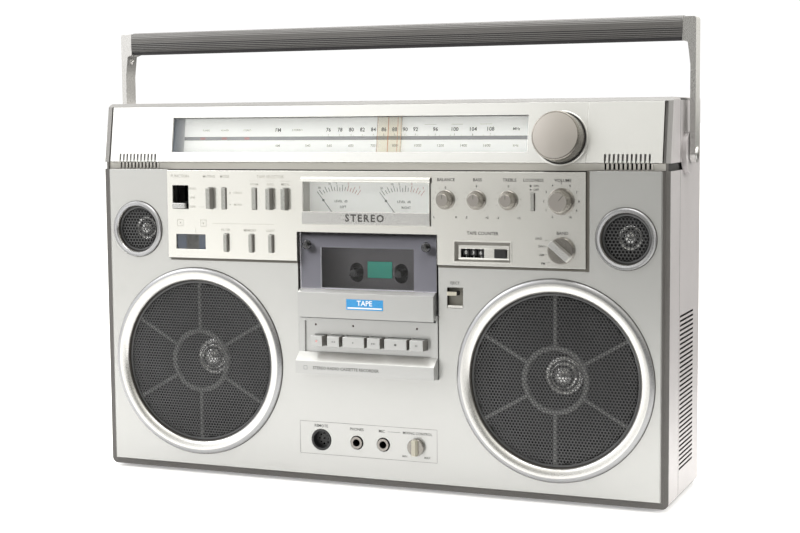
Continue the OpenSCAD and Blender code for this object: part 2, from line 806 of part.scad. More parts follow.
module normal_tape_button() {
    color("#a9a7a3") cab() push_bar(upper_bars[2][0], 2.2, upper_bar_z, upper_bars[2][1]);
}

module chrome_tape_button() {
    color("#a9a7a3") cab() push_bar(upper_bars[3][0], 2.2, upper_bar_z, upper_bars[3][1]);
}

module metal_tape_button() {
    color("#a9a7a3") cab() push_bar(upper_bars[4][0], 2.2, upper_bar_z, upper_bars[4][1]);
}

module filter_button() {
    color("#a9a7a3") cab() push_bar(lower_bars[0][0], 1.8, lower_bar_z, lower_bars[0][1]);
}

module memory_button() {
    color("#a9a7a3") cab() push_bar(lower_bars[1][0], 1.8, lower_bar_z, lower_bars[1][1]);
}

module lamp_button() {
    color("#a9a7a3") cab() push_bar(lower_bars[2][0], 1.8, lower_bar_z, lower_bars[2][1]);
}

module loudness_button() {
    color("#a9a7a3") cab() push_bar(loudness_x, 1.6, loudness_z, 1.6);
}

// A transport key: a square cap and the stem behind it.
module key(n) {
    mid = (keys[n][0] + keys[n][1]) / 2;
    block([keys[n][0], -key_front, key_z[0]], [keys[n][1], 3, key_z[1]]);
    block([mid - 2.5, 3 - slack, 125], [mid + 2.5, 14, 129]);
}

module record_key() {
    color("#d9d7d2") cab() key(0);
}

module rewind_key() {
    color("#d9d7d2") cab() key(1);
}

module play_key() {
    color("#d9d7d2") cab() key(2);
}

module forward_key() {
    color("#d9d7d2") cab() key(3);
}

module stop_key() {
    color("#d9d7d2") cab() key(4);
}

module pause_key() {
    color("#d9d7d2") cab() key(5);
}

module door_frame() {
    color("#b9b6b0") cab() difference() {
        union() {
            difference() {
                block([-door_x, -1.5, 153], [door_x, 0.5, door_top]);
                block([-44.4, -2, 173], [43.6, 1, 208.7]);
            }
            door_cover();
            for (s = [-1, 1]) door_rail(s);
            for (s = [-1, 1]) {
                rod_x(door_pivot_y, door_pivot_z, 2.4, min(s * 60, s * door_x), max(s * 60, s * door_x));
                block([min(s * 60, s * door_x), -4.9, door_pivot_z], [max(s * 60, s * door_x), -0.1, 155]);
            }
        }
        rod_x(door_pivot_y, door_pivot_z, 1.5 + run_gap, -door_x - 1, door_x + 1);
    }
}

// The silver cover along the lower part of the door, open at the back.
module door_cover() {
    side = [
        [-9.6, 147.4], [-7.4, 147.4], [-5.4, 150], [-4.5, 153], [-1.5, 153], [-1.5, 172.2], [-4.2, 172.2],
        [-9.6, 169.4]
    ];
    plate_x(-door_x, -door_x + 2) polygon(side);
    plate_x(door_x - 2, door_x) polygon(side);
    block([-door_x, -9.6, 147.4], [door_x, -7.4, 169.4]);
    plate_x(-door_x, door_x) polygon([[-9.6, 167.4], [-9.6, 169.4], [-4.2, 172.2], [-1.5, 172.2], [-1.5, 170.2]]);
}

// One of the two rails that hold the sides of a cassette.
module door_rail(s) {
    block([min(s * 51.8, s * 54), 0.4, 158], [max(s * 51.8, s * 54), 14, 214]);
    block([min(s * 48, s * 54), 13, 158], [max(s * 48, s * 54), 14.4, 170]);
}

module door_lens() {
    color("#77767a", 0.7) cab() block([-door_x, -4, 172.3], [door_x, -1.5, door_top]);
}

module reset_button() {
    color("#2b2b2d") cab() {
        block([reset_x[0], -4, reset_z[0]], [reset_x[1], 5, reset_z[1]]);
        block([reset_x[0] + 3, 5 - slack, reset_z[0] + 2], [reset_x[1] - 3, 9, reset_z[1] - 2]);
    }
}

module eject_lever() {
    color("#c9bfa2") cab() {
        block([75, -6, 170.4], [84, 7, 174]);
        block([72, 7 - slack, 158], [91, 9, 188]);
    }
}

// A meter's needle at its resting place.
module needle(s) {
    translate([s * meter_pivot[0], 0, meter_pivot[1] + 1.6]) rotate([0, -38, 0]) {
        block([-0.35, 2, -1.2], [0.35, 2.6, 31]);
        rod_y(0, 0, 1.6, 1.6, 3);
        rod_y(0, 0, 0.6, 2.6, 8);
    }
}

module left_needle() {
    color("#2a2422") cab() needle(-1);
}

module right_needle() {
    color("#2a2422") cab() needle(1);
}

module battery_cover() {
    color("#a9a6a7") cab() {
        block([-battery_x - 2.5, cabinet_d - cover_t, battery_z0 - 2.2],
            [battery_x + 2.5, cabinet_d, battery_z1 + 2]);
        block([-12, cabinet_d - 6, battery_z1 - 3], [12, cabinet_d - cover_t + slack, battery_z1 - 1]);
    }
}

module antenna_swivel() {
    color("#cfcfd0") cab() difference() {
        union() {
            translate([aerial_x, aerial_y, shelf_z - 8]) cylinder(h = 9, r = 3);
            translate([aerial_x, aerial_y, shelf_z + 0.3]) cylinder(h = 1.6, r = 6);
            translate([aerial_x, aerial_y, shelf_z + 1]) cylinder(h = 10, r = 5.4);
        }
        block([aerial_x - 9, aerial_y - 2.2, shelf_z + 1.9], [aerial_x + 9, aerial_y + 2.2, shelf_z + 14]);
        rod_y(aerial_x, aerial_z, 1.2 + run_gap, aerial_y - 9, aerial_y + 9);
    }
}

module antenna_tube() {
    color("#dadadb") cab() difference() {
        union() {
            rod_x(aerial_y, aerial_z, aerial_r, aerial_x - aerial_len, aerial_x - 8);
            block([aerial_x - 9, aerial_y - 1.9, aerial_z - 3], [aerial_x, aerial_y + 1.9, aerial_z + 3]);
            rod_y(aerial_x, aerial_z, 3, aerial_y - 1.9, aerial_y + 1.9);
            rod_y(aerial_x, aerial_z, 1.2, aerial_y - 5.2, aerial_y + 5.2);
        }
        rod_x(aerial_y, aerial_z, 2.5 + run_gap, aerial_x - aerial_len - 1, aerial_x - 14);
    }
}

module antenna_rod() {
    color("#e2e2e3") cab() {
        rod_x(aerial_y, aerial_z, 2.5, aerial_x - aerial_len - 8, aerial_x - 18);
        rod_x(aerial_y, aerial_z, 3.6, aerial_x - aerial_len - 14, aerial_x - aerial_len - 7);
    }
}

module motor_pulley() {
    color("#b08d4a") cab() {
        rod_y(motor_axis[0], motor_axis[1], pulley_r, wheel_y0, wheel_y1);
        rod_y(motor_axis[0], motor_axis[1], 1, 38, wheel_y0 + slack);
    }
}

module flywheel() {
    color("#9fa0a3") cab() {
        rod_y(capstan[0], capstan[1], flywheel_r, wheel_y0, wheel_y1);
        rod_y(capstan[0], capstan[1], 1.2, 9, wheel_y0 + slack);
    }
}

// A reel spindle with its drive disc and three splines.
module spindle(x) {
    rod_y(x, hub_z, 1.5, 30, 46.5);
    rod_y(x, hub_z, 12, 33, 36);
    rod_y(x, hub_z, 3.2, 16, 34);
    for (a = [0:120:240]) translate([x, 0, hub_z]) rotate([0, a, 0]) block([-0.6, 16, 0], [0.6, 23, 4.4]);
}

module take_up_spindle() {
    color("#2e2e31") cab() spindle(hub_x);
}

module supply_spindle() {
    color("#2e2e31") cab() spindle(-hub_x);
}

module counter_wheels() {
    color("#202022") cab() {
        for (n = [0:2]) rod_x(counter_axis[0], counter_axis[1], 6.6, 87.4 + n * 6.6, 93.2 + n * 6.6);
        rod_x(counter_axis[0], counter_axis[1], 1.5, 83, 110.6);
    }
}

front_cabinet();
rear_cabinet();
front_panel();
tuner_panel();
control_panel();
clear_windows();
dial_scale();
meter_unit();
deck_fascia();
speaker_rings();
speaker_grilles();
speaker_drivers();
rubber_feet();
deck_chassis();
tape_heads();
electronics();
drive_belt();
jack_sockets();
case_screws();
handle_grip();
handle_arms();
tuning_knob();
dial_pointer();
volume_knob();
balance_knob();
bass_knob();
treble_knob();
band_knob();
mixing_knob();
function_lever();
muting_button();
mode_button();
normal_tape_button();
chrome_tape_button();
metal_tape_button();
filter_button();
memory_button();
lamp_button();
loudness_button();
record_key();
rewind_key();
play_key();
forward_key();
stop_key();
pause_key();
door_frame();
door_lens();
reset_button();
eject_lever();
left_needle();
right_needle();
battery_cover();
antenna_swivel();
antenna_tube();
antenna_rod();
motor_pulley();
flywheel();
take_up_spindle();
supply_spindle();
counter_wheels();
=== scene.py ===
import json
from math import asin, atan2, cos, degrees, hypot, pi, radians, sin, sqrt

import bmesh
import bpy
from mathutils import Matrix, Vector


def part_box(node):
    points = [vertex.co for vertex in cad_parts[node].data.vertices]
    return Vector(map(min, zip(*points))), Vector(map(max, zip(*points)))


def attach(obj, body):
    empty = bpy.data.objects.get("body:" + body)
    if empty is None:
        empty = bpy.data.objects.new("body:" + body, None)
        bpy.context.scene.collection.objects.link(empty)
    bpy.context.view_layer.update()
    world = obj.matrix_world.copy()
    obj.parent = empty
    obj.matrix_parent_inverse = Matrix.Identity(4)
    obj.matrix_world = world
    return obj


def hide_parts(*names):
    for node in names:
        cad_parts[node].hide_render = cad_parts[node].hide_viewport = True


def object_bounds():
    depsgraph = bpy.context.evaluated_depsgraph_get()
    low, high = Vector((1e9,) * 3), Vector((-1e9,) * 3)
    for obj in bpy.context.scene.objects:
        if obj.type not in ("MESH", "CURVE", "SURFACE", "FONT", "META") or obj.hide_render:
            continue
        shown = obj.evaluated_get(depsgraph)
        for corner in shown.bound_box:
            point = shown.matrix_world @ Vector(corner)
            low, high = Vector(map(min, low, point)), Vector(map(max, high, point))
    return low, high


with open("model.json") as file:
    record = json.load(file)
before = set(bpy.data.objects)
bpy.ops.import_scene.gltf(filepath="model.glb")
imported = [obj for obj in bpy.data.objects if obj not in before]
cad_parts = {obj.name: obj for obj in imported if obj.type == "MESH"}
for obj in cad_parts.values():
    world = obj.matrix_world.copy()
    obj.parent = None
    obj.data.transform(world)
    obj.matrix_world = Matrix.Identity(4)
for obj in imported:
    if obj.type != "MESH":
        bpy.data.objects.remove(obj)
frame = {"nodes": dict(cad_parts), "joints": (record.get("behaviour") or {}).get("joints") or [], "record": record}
cad_low, cad_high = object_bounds()
BODY_OF = {node: body for body, nodes in frame["record"]["behaviour"]["bodies"].items() for node in nodes}

# Everything below is drawn in cabinet millimetres: X across the front, Y from the front border
# into the case, Z up from the case's lower edge.
MM = 0.001
case_low, case_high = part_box("front_cabinet")
ORIGIN = Vector((0, case_low.y, case_low.z))
TO_SCENE = Matrix.Translation(ORIGIN) @ Matrix.Scale(MM, 4)
CASE_W = (case_high.x - case_low.x) / MM
CASE_H = (case_high.z - case_low.z) / MM
CASE_D = (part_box("rear_cabinet")[1].y - case_low.y) / MM
tuning_axis = next(j["axis"] for j in frame["joints"] if j["name"] == "tuning_spin")
LEAN = atan2(-tuning_axis[2], tuning_axis[1])
GROOVE_TOP = 282.7
GROOVE_LOW = 276.3
SIDES = ((-1, "left"), (1, "right"))
SLANT = Matrix.Translation((0, 0, GROOVE_TOP)) @ Matrix.Rotation(-LEAN, 4, "X")


def span(node):
    """Lowest and highest corners of a CAD node in cabinet millimetres."""
    low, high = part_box(node)
    return (low - ORIGIN) / MM, (high - ORIGIN) / MM


def centre(node):
    low, high = span(node)
    return (low + high) / 2


# ---------------------------------------------------------------- materials

WEAR_REACH = 0.0006
GRAIN_DEPTH = 0.0002


def fill(tree, node, **values):
    """Sets a shader node's inputs and properties by name, and links a value that is another node's output."""
    for key, value in values.items():
        name = key.replace("_", " ")
        if name not in node.inputs:
            setattr(node, key, value)
        elif isinstance(value, bpy.types.NodeSocket):
            tree.links.new(value, node.inputs[name])
        else:
            node.inputs[name].default_value = value


def add(tree, kind, *feeds, **values):
    """A new shader node. feeds link to its inputs in order, and values are as for fill."""
    node = tree.nodes.new("ShaderNode" + kind)
    fill(tree, node, **values)
    for feed, socket in zip(feeds, node.inputs):
        tree.links.new(feed, socket)
    return node


def position(tree):
    return add(tree, "TexCoord").outputs["Object"]


def noise(tree, scale, detail):
    return add(tree, "TexNoise", position(tree), Scale=scale, Detail=detail, Roughness=0.55).outputs["Fac"]


def ramp(tree, value, low, high, out_low=0.0, out_high=1.0):
    """A straight rise from out_low to out_high over low..high; the ends may be numbers or outputs."""
    return add(tree, "MapRange", value, From_Min=low, From_Max=high, To_Min=out_low,
               To_Max=out_high).outputs["Result"]


def spread(tree, value, low, high):
    """Maps the middle of a noise onto low..high."""
    return ramp(tree, value, 0.3, 0.7, low, high)


def mixed(tree, factor, first, second):
    """A blend of first, a colour or an output, into second, a colour."""
    start = first if isinstance(first, bpy.types.NodeSocket) else (*first, 1)
    return add(tree, "Mix", data_type="RGBA", A=start, B=(*second, 1), Factor=factor).outputs["Result"]


def by_ray(tree, kind, others, special, output="Material Output"):
    """Shows rays of one kind the node special, and all other rays the node others."""
    picked = add(tree, "MixShader", add(tree, "LightPath").outputs[kind], others.outputs[0],
                 special.outputs[0])
    tree.links.new(picked.outputs["Shader"], tree.nodes[output].inputs["Surface"])


def shader(name):
    made = bpy.data.materials.new(name)
    made.use_nodes = True
    return made, made.node_tree, made.node_tree.nodes["Principled BSDF"]


def surface(name, color, rough, metal=0.0, vary=0.1, rough_vary=0.08, grain=0.0, grain_scale=2500.0,
            patch_scale=14.0, wear=None, shade_ramp=None, **sockets):
    """A moulded, painted or plated surface: two sizes of colour variation, uneven gloss and a fine grain.
    wear, a colour, shows where edges have rubbed. shade_ramp, two places along X and a colour at each, stands for
    color: a painted shade graded from one colour to the other along X."""
    made, tree, bsdf = shader(name)
    if shade_ramp:
        tone = mixed(tree, ramp(tree, add(tree, "SeparateXYZ", position(tree)).outputs["X"], *shade_ramp[:2]),
                     *shade_ramp[2:])
    else:
        tone = mixed(tree, spread(tree, noise(tree, patch_scale, 5.0), 0, 1), [c * (1 - vary) for c in color],
                     [min(1.0, c * (1 + vary)) for c in color])
    if wear:
        soft = add(tree, "Bevel", Radius=WEAR_REACH).outputs["Normal"]
        flat = add(tree, "NewGeometry").outputs["Normal"]
        alike = add(tree, "VectorMath", soft, flat, operation="DOT_PRODUCT").outputs["Value"]
        rubbed = add(tree, "Math", ramp(tree, alike, 0.995, 0.9, 0.0, 0.8),
                     spread(tree, noise(tree, 160.0, 3.0), 0, 1), operation="MULTIPLY")
        tone = mixed(tree, rubbed.outputs["Value"], tone, wear)
    fine = noise(tree, grain_scale, 3.0)
    fill(tree, bsdf, Base_Color=tone, Metallic=metal,
         Roughness=spread(tree, fine, max(0.02, rough - rough_vary), rough + rough_vary), **sockets)
    if grain:
        bump = add(tree, "Bump", Strength=grain, Distance=GRAIN_DEPTH, Height=fine)
        fill(tree, bsdf, Normal=bump.outputs["Normal"])
    return made


def clear(name, color, rough=0.03, ior=1.49):
    """A clear moulding: its colour tints what lies behind, its gloss is smeared, and lamps shine through."""
    made, tree, bsdf = shader(name)
    smear = noise(tree, 35.0, 4.0)
    fill(tree, bsdf, Transmission_Weight=1.0, IOR=ior, Roughness=spread(tree, smear, rough, rough + 0.05),
         Base_Color=mixed(tree, spread(tree, smear, 0, 1), color, [c * 0.97 for c in color]))
    by_ray(tree, "Is Shadow Ray", bsdf, add(tree, "BsdfTransparent", Color=(*color, 1)))
    return made


BORDER = surface("border_plastic", (0.11, 0.104, 0.099), 0.34, grain=0.25, grain_scale=1800,
                 wear=(0.2, 0.19, 0.18))
CASE = surface("case_plastic", (0.52, 0.495, 0.50), 0.38, metal=0.25, grain=0.12, grain_scale=1500, vary=0.05,
               wear=(0.62, 0.6, 0.6))
SILVER = surface("silver_panel", (0.53, 0.53, 0.518), 0.27, metal=0.6, grain_scale=420, vary=0.008,
                 rough_vary=0.003, patch_scale=5.0)
CHAMPAGNE = surface("champagne_panel", (0.80, 0.79, 0.755), 0.2, metal=0.85, grain_scale=420,
                    vary=0.02, rough_vary=0.02, patch_scale=6.0, wear=(0.86, 0.85, 0.82))
# The tuner panel's silver, used also as a painted highlight on faces that face up.
TUNER_AND_HIGHLIGHT = surface("tuner_silver", (0.90, 0.90, 0.88), 0.24, metal=0.7, grain_scale=420, vary=0.015,
                rough_vary=0.02, patch_scale=6.0, wear=(0.9, 0.9, 0.88))
TRIM = surface("bright_trim", (0.70, 0.69, 0.67), 0.28, metal=1.0, grain=0.03, grain_scale=3500, vary=0.03,
               rough_vary=0.05)
TRIM_OUTER = surface("trim_outer", (0.40, 0.40, 0.41), 0.3, metal=0.9, grain=0.03, grain_scale=3500,
                     vary=0.04)
# Near-black painted shade for the edges, walls and undersides of panels and trim.
TRIM_SHADE = surface("trim_shadow", (0.05, 0.045, 0.04), 0.5, vary=0.15)
MESH_STEEL = surface("grille_metal", (0.078, 0.078, 0.08), 0.34, metal=0.5, grain=0.1, vary=0.2)
CONE = surface("cone_paper", (0.018, 0.018, 0.019), 0.75, grain=0.6, grain_scale=900, vary=0.25,
               patch_scale=60)
DOME = surface("bright_dome", (0.88, 0.88, 0.87), 0.1, metal=0.9, vary=0.05)
SPIDER = surface("spider_plastic", (0.24, 0.24, 0.235), 0.5, grain=0.2)
RUBBER = surface("foot_rubber", (0.02, 0.02, 0.02), 0.8, grain=0.5, grain_scale=1200, vary=0.2)
KNOB = surface("knob_finish", (0.26, 0.243, 0.218), 0.26, metal=0.85, grain=0.06, grain_scale=2600, vary=0.03,
               wear=(0.66, 0.63, 0.6))
KNOB_DARK = surface("knob_disc", (0.27, 0.255, 0.235), 0.22, metal=0.85, vary=0.04)
TUNING_FACE = surface("tuning_face", (0.42, 0.39, 0.36), 0.42, metal=0.5, grain=0.05, grain_scale=4200,
                      vary=0.03)
KNOB_FACE = surface("knob_face", (0.30, 0.28, 0.26), 0.38, metal=0.6, grain=0.05, grain_scale=4200, vary=0.03)
BAR = surface("bar_finish", (0.37, 0.37, 0.35), 0.3, metal=0.6, grain=0.03, vary=0.04, wear=(0.6, 0.6, 0.58))
BUTTON = surface("button_finish", (0.50, 0.495, 0.485), 0.28, metal=0.7, grain=0.03, vary=0.04,
                 wear=(0.66, 0.66, 0.65))
KEY = surface("key_finish", (0.48, 0.482, 0.475), 0.26, metal=0.6, grain_scale=420, vary=0.01,
              rough_vary=0.004)
# Dark grey painted shade for the sides of keys and bars.
KEY_SHADE = surface("key_side", (0.17, 0.162, 0.15), 0.4)
BLACK = surface("black_plastic", (0.014, 0.014, 0.015), 0.32, grain=0.15, vary=0.2)
# Near-black: the own colour of dark inner parts, and painted shade in recesses, slots and gaps.
DARK_AND_SHADE = surface("dark_and_painted_shade", (0.02, 0.019, 0.018), 0.6, grain=0.2, vary=0.2)
WELL = surface("well_grey", (0.165, 0.16, 0.165), 0.5, grain=0.15)
REFLECTOR = surface("green_reflector", (0.03, 0.46, 0.33), 0.35, vary=0.08)
INK = surface("printed_ink", (0.045, 0.042, 0.04), 0.5, vary=0.2)
PALE_INK = surface("pale_ink", (0.40, 0.385, 0.35), 0.5, vary=0.2)
WHITE_INK = surface("white_ink", (0.85, 0.85, 0.83), 0.5, vary=0.05)
BADGE = surface("blue_badge", (0.04, 0.29, 0.62), 0.3, metal=0.2, vary=0.05)
# The dial scale glows faintly: painted light.
SCALE_GLOW = surface("scale_print", (0.88, 0.88, 0.85), 0.4, grain=0.05, vary=0.02, Coat_Weight=0.6,
                Emission_Color=(1, 1, 0.97, 1), Emission_Strength=0.3)
DIAL_WALL_SHADE = surface("dial_wall_painted_shade", None, 0.45, shade_ramp=(-0.1945, -0.1865, (0.17, 0.2, 0.26), (0.8, 0.81, 0.82)))
SCALE_BAR = surface("scale_bar", (0.36, 0.36, 0.37), 0.4, vary=0.05)
# The meter face glows faintly: painted light.
METER_GLOW = surface("meter_face", (0.86, 0.86, 0.84), 0.5, grain=0.05, vary=0.03, Emission_Color=(1, 1, 0.98, 1),
                Emission_Strength=0.22)
SOCKET = surface("socket_metal", (0.30, 0.28, 0.26), 0.3, metal=0.9, vary=0.08)
SCREW = surface("screw_steel", (0.06, 0.06, 0.063), 0.16, metal=1.0, wear=(0.4, 0.4, 0.4))
GRIP_SHADE = surface("grip_painted_shade", (0.035, 0.034, 0.036), 0.62, grain=0.2, grain_scale=1500,
                     Specular_IOR_Level=0.2)
GRIP_LIT = surface("grip_painted_highlight", (0.20, 0.195, 0.19), 0.36, grain=0.2, grain_scale=1500, vary=0.08)
GRIP = surface("grip_plastic", (0.115, 0.110, 0.106), 0.38, grain=0.2, grain_scale=1500, vary=0.08,
               wear=(0.16, 0.155, 0.15))
ARM = surface("arm_metal", (0.62, 0.61, 0.60), 0.28, metal=0.85, grain=0.02, vary=0.03)
BEIGE = surface("lever_beige", (0.46, 0.435, 0.36), 0.45, vary=0.05)
CHROME = surface("aerial_chrome", (0.82, 0.82, 0.83), 0.08, metal=1.0, vary=0.02, rough_vary=0.04)
CHASSIS = surface("chassis_steel", (0.09, 0.09, 0.09), 0.45, metal=0.5)
ORANGE = surface("pointer_orange", (0.70, 0.24, 0.06), 0.35)
# A lighter copy of the border colour: painted light.
BORDER_LIT = surface("border_painted_light", (0.30, 0.293, 0.285), 0.4, grain=0.2, grain_scale=1800, vary=0.06)
GAP_SHADE = surface("gap_painted_shadow", (0.10, 0.092, 0.078), 0.4, vary=0.08)
TRAY_SHADE = surface("tray_shade", (0.19, 0.182, 0.165), 0.4, grain=0.1, vary=0.06)
PLATE = surface("door_plate", (0.88, 0.88, 0.91), 0.4, grain=0.1, vary=0.04)
# The groove lining's own colour, used also as painted shade on the meter window's left wall.
GROOVE_AND_SHADE = surface("groove_plastic_and_painted_shade", (0.53, 0.515, 0.48), 0.42, grain=0.15, vary=0.04)
SLOT = surface("slot_grey", (0.23, 0.22, 0.19), 0.5, grain=0.2)
POINTER = clear("pointer_clear", (0.97, 0.93, 0.84), 0.05)
PINK_INK = surface("pink_ink", (0.56, 0.29, 0.28), 0.5)
BLUE_GLASS = surface("blue_window", (0.035, 0.055, 0.105), 0.2, vary=0.05, Coat_Weight=0.3,
                     Specular_IOR_Level=0.3)
LAMP = surface("lamp_red", (0.05, 0.012, 0.01), 0.2, Coat_Weight=1.0)
CLEAR = clear("clear_plastic", (0.97, 0.98, 0.98))
SMOKE = clear("smoked_plastic", (0.94, 0.935, 0.955), 0.04, 1.28)


# ---------------------------------------------------------------- drawing

class Shape:
    """A mesh in cabinet millimetres. self.mat is the material number that new faces take."""

    def __init__(self):
        self.bm = bmesh.new()
        self.mat = 0

    def mesh(self, points, faces):
        verts = [self.bm.verts.new(p) for p in points]
        for f in faces:
            face = self.bm.faces.new([verts[i] for i in f])
            face.material_index = self.mat
        return verts

    def block(self, low, high):
        (x0, y0, z0), (x1, y1, z1) = low, high
        points = [(x, y, z) for x in (x0, x1) for y in (y0, y1) for z in (z0, z1)]
        return self.mesh(points, [(0, 1, 3, 2), (4, 6, 7, 5), (0, 4, 5, 1), (2, 3, 7, 6), (0, 2, 6, 4),
                                  (1, 5, 7, 3)])

    def prism(self, outline, axis, a, b):
        """An outline given depth from a to b along an axis; its points are the other two coordinates."""
        def place(p, along):
            at = list(p)
            at.insert("xyz".index(axis), along)
            return tuple(at)
        n = len(outline)
        points = [place(p, a) for p in outline] + [place(p, b) for p in outline]
        sides = [(i, (i + 1) % n, (i + 1) % n + n, i + n) for i in range(n)]
        return self.mesh(points, [tuple(range(n)), tuple(reversed(range(n, 2 * n))), *sides])

    def turned(self, profile, x=0.0, z=0.0, segments=96):
        """A profile of (radius, depth) points turned about an axis along Y."""
        points, faces = [], []
        for r, y in profile:
            for k in range(segments):
                a = 2 * pi * k / segments
                points.append((x + r * sin(a), y, z + r * cos(a)))
        for i in range(len(profile) - 1):
            j = i + 1
            for k in range(segments):
                m = (k + 1) % segments
                faces.append((i * segments + k, i * segments + m, j * segments + m, j * segments + k))
        made = self.mesh(points, faces)
        bmesh.ops.remove_doubles(self.bm, verts=made, dist=0.0005)
        return made

    def patch(self, outline, y):
        """A flat figure facing the front, at depth y."""
        return self.mesh([(x, y, z) for x, z in outline], [tuple(range(len(outline)))])

    def oblong(self, x0, z0, x1, z1, y):
        """A flat rectangle facing the front, between two corners."""
        return self.patch([(x0, z0), (x1, z0), (x1, z1), (x0, z1)], y)

    def text(self, words, size, x, z, y, bold=0.012, space=1.0):
        curve = bpy.data.curves.new("words", "FONT")
        curve.body = words
        curve.size = size
        curve.align_x = "CENTER"
        curve.align_y = "CENTER"
        curve.resolution_u = 2
        curve.offset = size * bold
        curve.space_character = space
        holder = bpy.data.objects.new("words", curve)
        flat = bpy.data.meshes.new_from_object(holder)
        points = [(x + v.co.x, y, z + v.co.y) for v in flat.vertices]
        made = self.mesh(points, [tuple(p.vertices) for p in flat.polygons])
        bpy.data.objects.remove(holder)
        bpy.data.curves.remove(curve)
        bpy.data.meshes.remove(flat)
        return made

    def move(self, verts, matrix):
        bmesh.ops.transform(self.bm, matrix=matrix, verts=[v for v in verts if v.is_valid])

    def from_node(self, node):
        """Takes the CAD node's own shape, with its flat faces whole again."""
        self.bm.from_mesh(frame["nodes"][node].data)
        for face in self.bm.faces:
            face.material_index = self.mat
        bmesh.ops.transform(self.bm, matrix=TO_SCENE.inverted(), verts=self.bm.verts)
        bmesh.ops.remove_doubles(self.bm, verts=self.bm.verts, dist=0.002)
        bmesh.ops.dissolve_limit(self.bm, angle_limit=radians(0.4), verts=self.bm.verts, edges=self.bm.edges)
        return self

    def paint(self, test, mat):
        """Gives material number mat to the faces whose centre and normal pass test."""
        self.bm.normal_update()
        for face in self.bm.faces:
            if test(face.calc_center_median(), face.normal):
                face.material_index = mat

    def make(self, name, *mats, node=None, body="cabinet", slot=None, slanted=False, bevel=0.0, steps=2,
             smooth=35, weld=0.0005, flat=False):
        """Turns the shape into a piece. It rides on the body of the node it replaces, or else on body. slot is not
        used."""
        if weld:
            bmesh.ops.remove_doubles(self.bm, verts=self.bm.verts, dist=weld)
        if not flat:
            bmesh.ops.recalc_face_normals(self.bm, faces=self.bm.faces)
        place = TO_SCENE @ SLANT if slanted else TO_SCENE
        bmesh.ops.transform(self.bm, matrix=place, verts=self.bm.verts)
        data = bpy.data.meshes.new(name)
        self.bm.to_mesh(data)
        self.bm.free()
        for mat in mats:
            data.materials.append(mat)
        data.shade_smooth()
        data.set_sharp_from_angle(angle=radians(smooth))
        piece = bpy.data.objects.new(name, data)
        bpy.context.scene.collection.objects.link(piece)
        if bevel:
            rounding = piece.modifiers.new("rounding", "BEVEL")
            rounding.width = bevel * MM
            rounding.segments = steps
            rounding.limit_method = "ANGLE"
            rounding.angle_limit = radians(smooth)
            level = piece.modifiers.new("level_faces", "WEIGHTED_NORMAL")
            level.keep_sharp = True
            level.weight = 100
        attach(piece, BODY_OF[node] if node else body)
        if node:
            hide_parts(node)
        # Blender numbers a material whose name the frame already has.
        return piece


def rounded(node, name, bevel, *mats, paint=(), slot=None, steps=2):
    """A CAD node's shape with softened edges, in place of the sharp one."""
    shape = Shape().from_node(node)
    for number, test in paint:
        shape.paint(test, number)
    return shape.make(name, *mats, node=node, slot=slot, bevel=bevel, steps=steps, weld=0)


def blocks(name, boxes, *mats, **how):
    """One piece made of boxes, each a low and a high corner and, unless it is 0, a material number."""
    shape = Shape()
    for low, high, *mat in boxes:
        shape.mat = mat[0] if mat else 0
        shape.block(low, high)
    return shape.make(name, *mats, **how)


def placed(x, y, z, turn=0.0, axis="Y"):
    """A move to a point, after a turn in degrees."""
    return Matrix.Translation((x, y, z)) @ Matrix.Rotation(radians(turn), 4, axis)


def arc(cx, cz, r, a0, a1, n):
    """Points on an arc, angles in degrees clockwise from upright."""
    angles = [radians(a0 + (a1 - a0) * i / n) for i in range(n + 1)]
    return [(cx + r * sin(a), cz + r * cos(a)) for a in angles]


# ---------------------------------------------------------------- camera, light and floor

def aim(obj, place, forward, roll=0.0):
    """Puts an object at a cabinet point, its -Z along forward and its X level but for the roll."""
    right = forward.cross(Vector((0, 0, 1))).normalized()
    up = right.cross(forward)
    across = cos(roll) * right + sin(roll) * up
    above = cos(roll) * up - sin(roll) * right
    turn = Matrix((across, above, -forward)).transposed().to_4x4()
    obj.matrix_world = Matrix.Translation(ORIGIN + place * MM) @ turn


scene = bpy.context.scene
lens = bpy.data.cameras.new("camera")
lens.sensor_width = 36
lens.lens = 71.03
camera = bpy.data.objects.new("camera", lens)
scene.collection.objects.link(camera)
YAW, PITCH, ROLL = 0.392, -0.094, -0.009
aim(camera, Vector((547, -1251, 321.1)),
    Vector((-sin(YAW) * cos(PITCH), cos(YAW) * cos(PITCH), sin(PITCH))), ROLL)
scene.camera = camera
scene.view_settings.view_transform = "Standard"


def softbox(name, place, target, width, height, watts):
    light = bpy.data.lights.new(name, "AREA")
    light.shape = "RECTANGLE"
    light.size = width * MM
    light.size_y = height * MM
    light.energy = watts
    holder = bpy.data.objects.new(name, light)
    scene.collection.objects.link(holder)
    aim(holder, Vector(place), (Vector(target) - Vector(place)).normalized())


MIDDLE = (0, 40, 170)
softbox("key_light", (-1050, -520, 1100), MIDDLE, 900, 800, 8)
softbox("top_light", (100, 150, 1900), MIDDLE, 1800, 1200, 24)
softbox("side_light", (1800, 800, 900), MIDDLE, 900, 1300, 15)

# The room: the camera sees plain white. Everything else sees white behind and above, dark towards the front
# right and bright towards the front left.
world = bpy.data.worlds.new("room")
scene.world = world
world.use_nodes = True
sky = world.node_tree
room = sky.nodes["Background"]
toward = add(sky, "SeparateXYZ", add(sky, "TexCoord").outputs["Generated"]).outputs
front = ramp(sky, toward["X"], -0.22, -0.62, 0.12, 1.75)
around = ramp(sky, toward["Y"], -0.25, 0.15, front, 1.0)
fill(sky, room, Strength=ramp(sky, toward["Z"], 0.06, 0.7, around, 1.2),
     Color=mixed(sky, ramp(sky, toward["X"], -0.2, -0.6), (1, 0.985, 0.91), (1, 1, 1)))
by_ray(sky, "Is Camera Ray", room, add(sky, "Background", Color=(1, 1, 1, 1), Strength=1.05), "World Output")

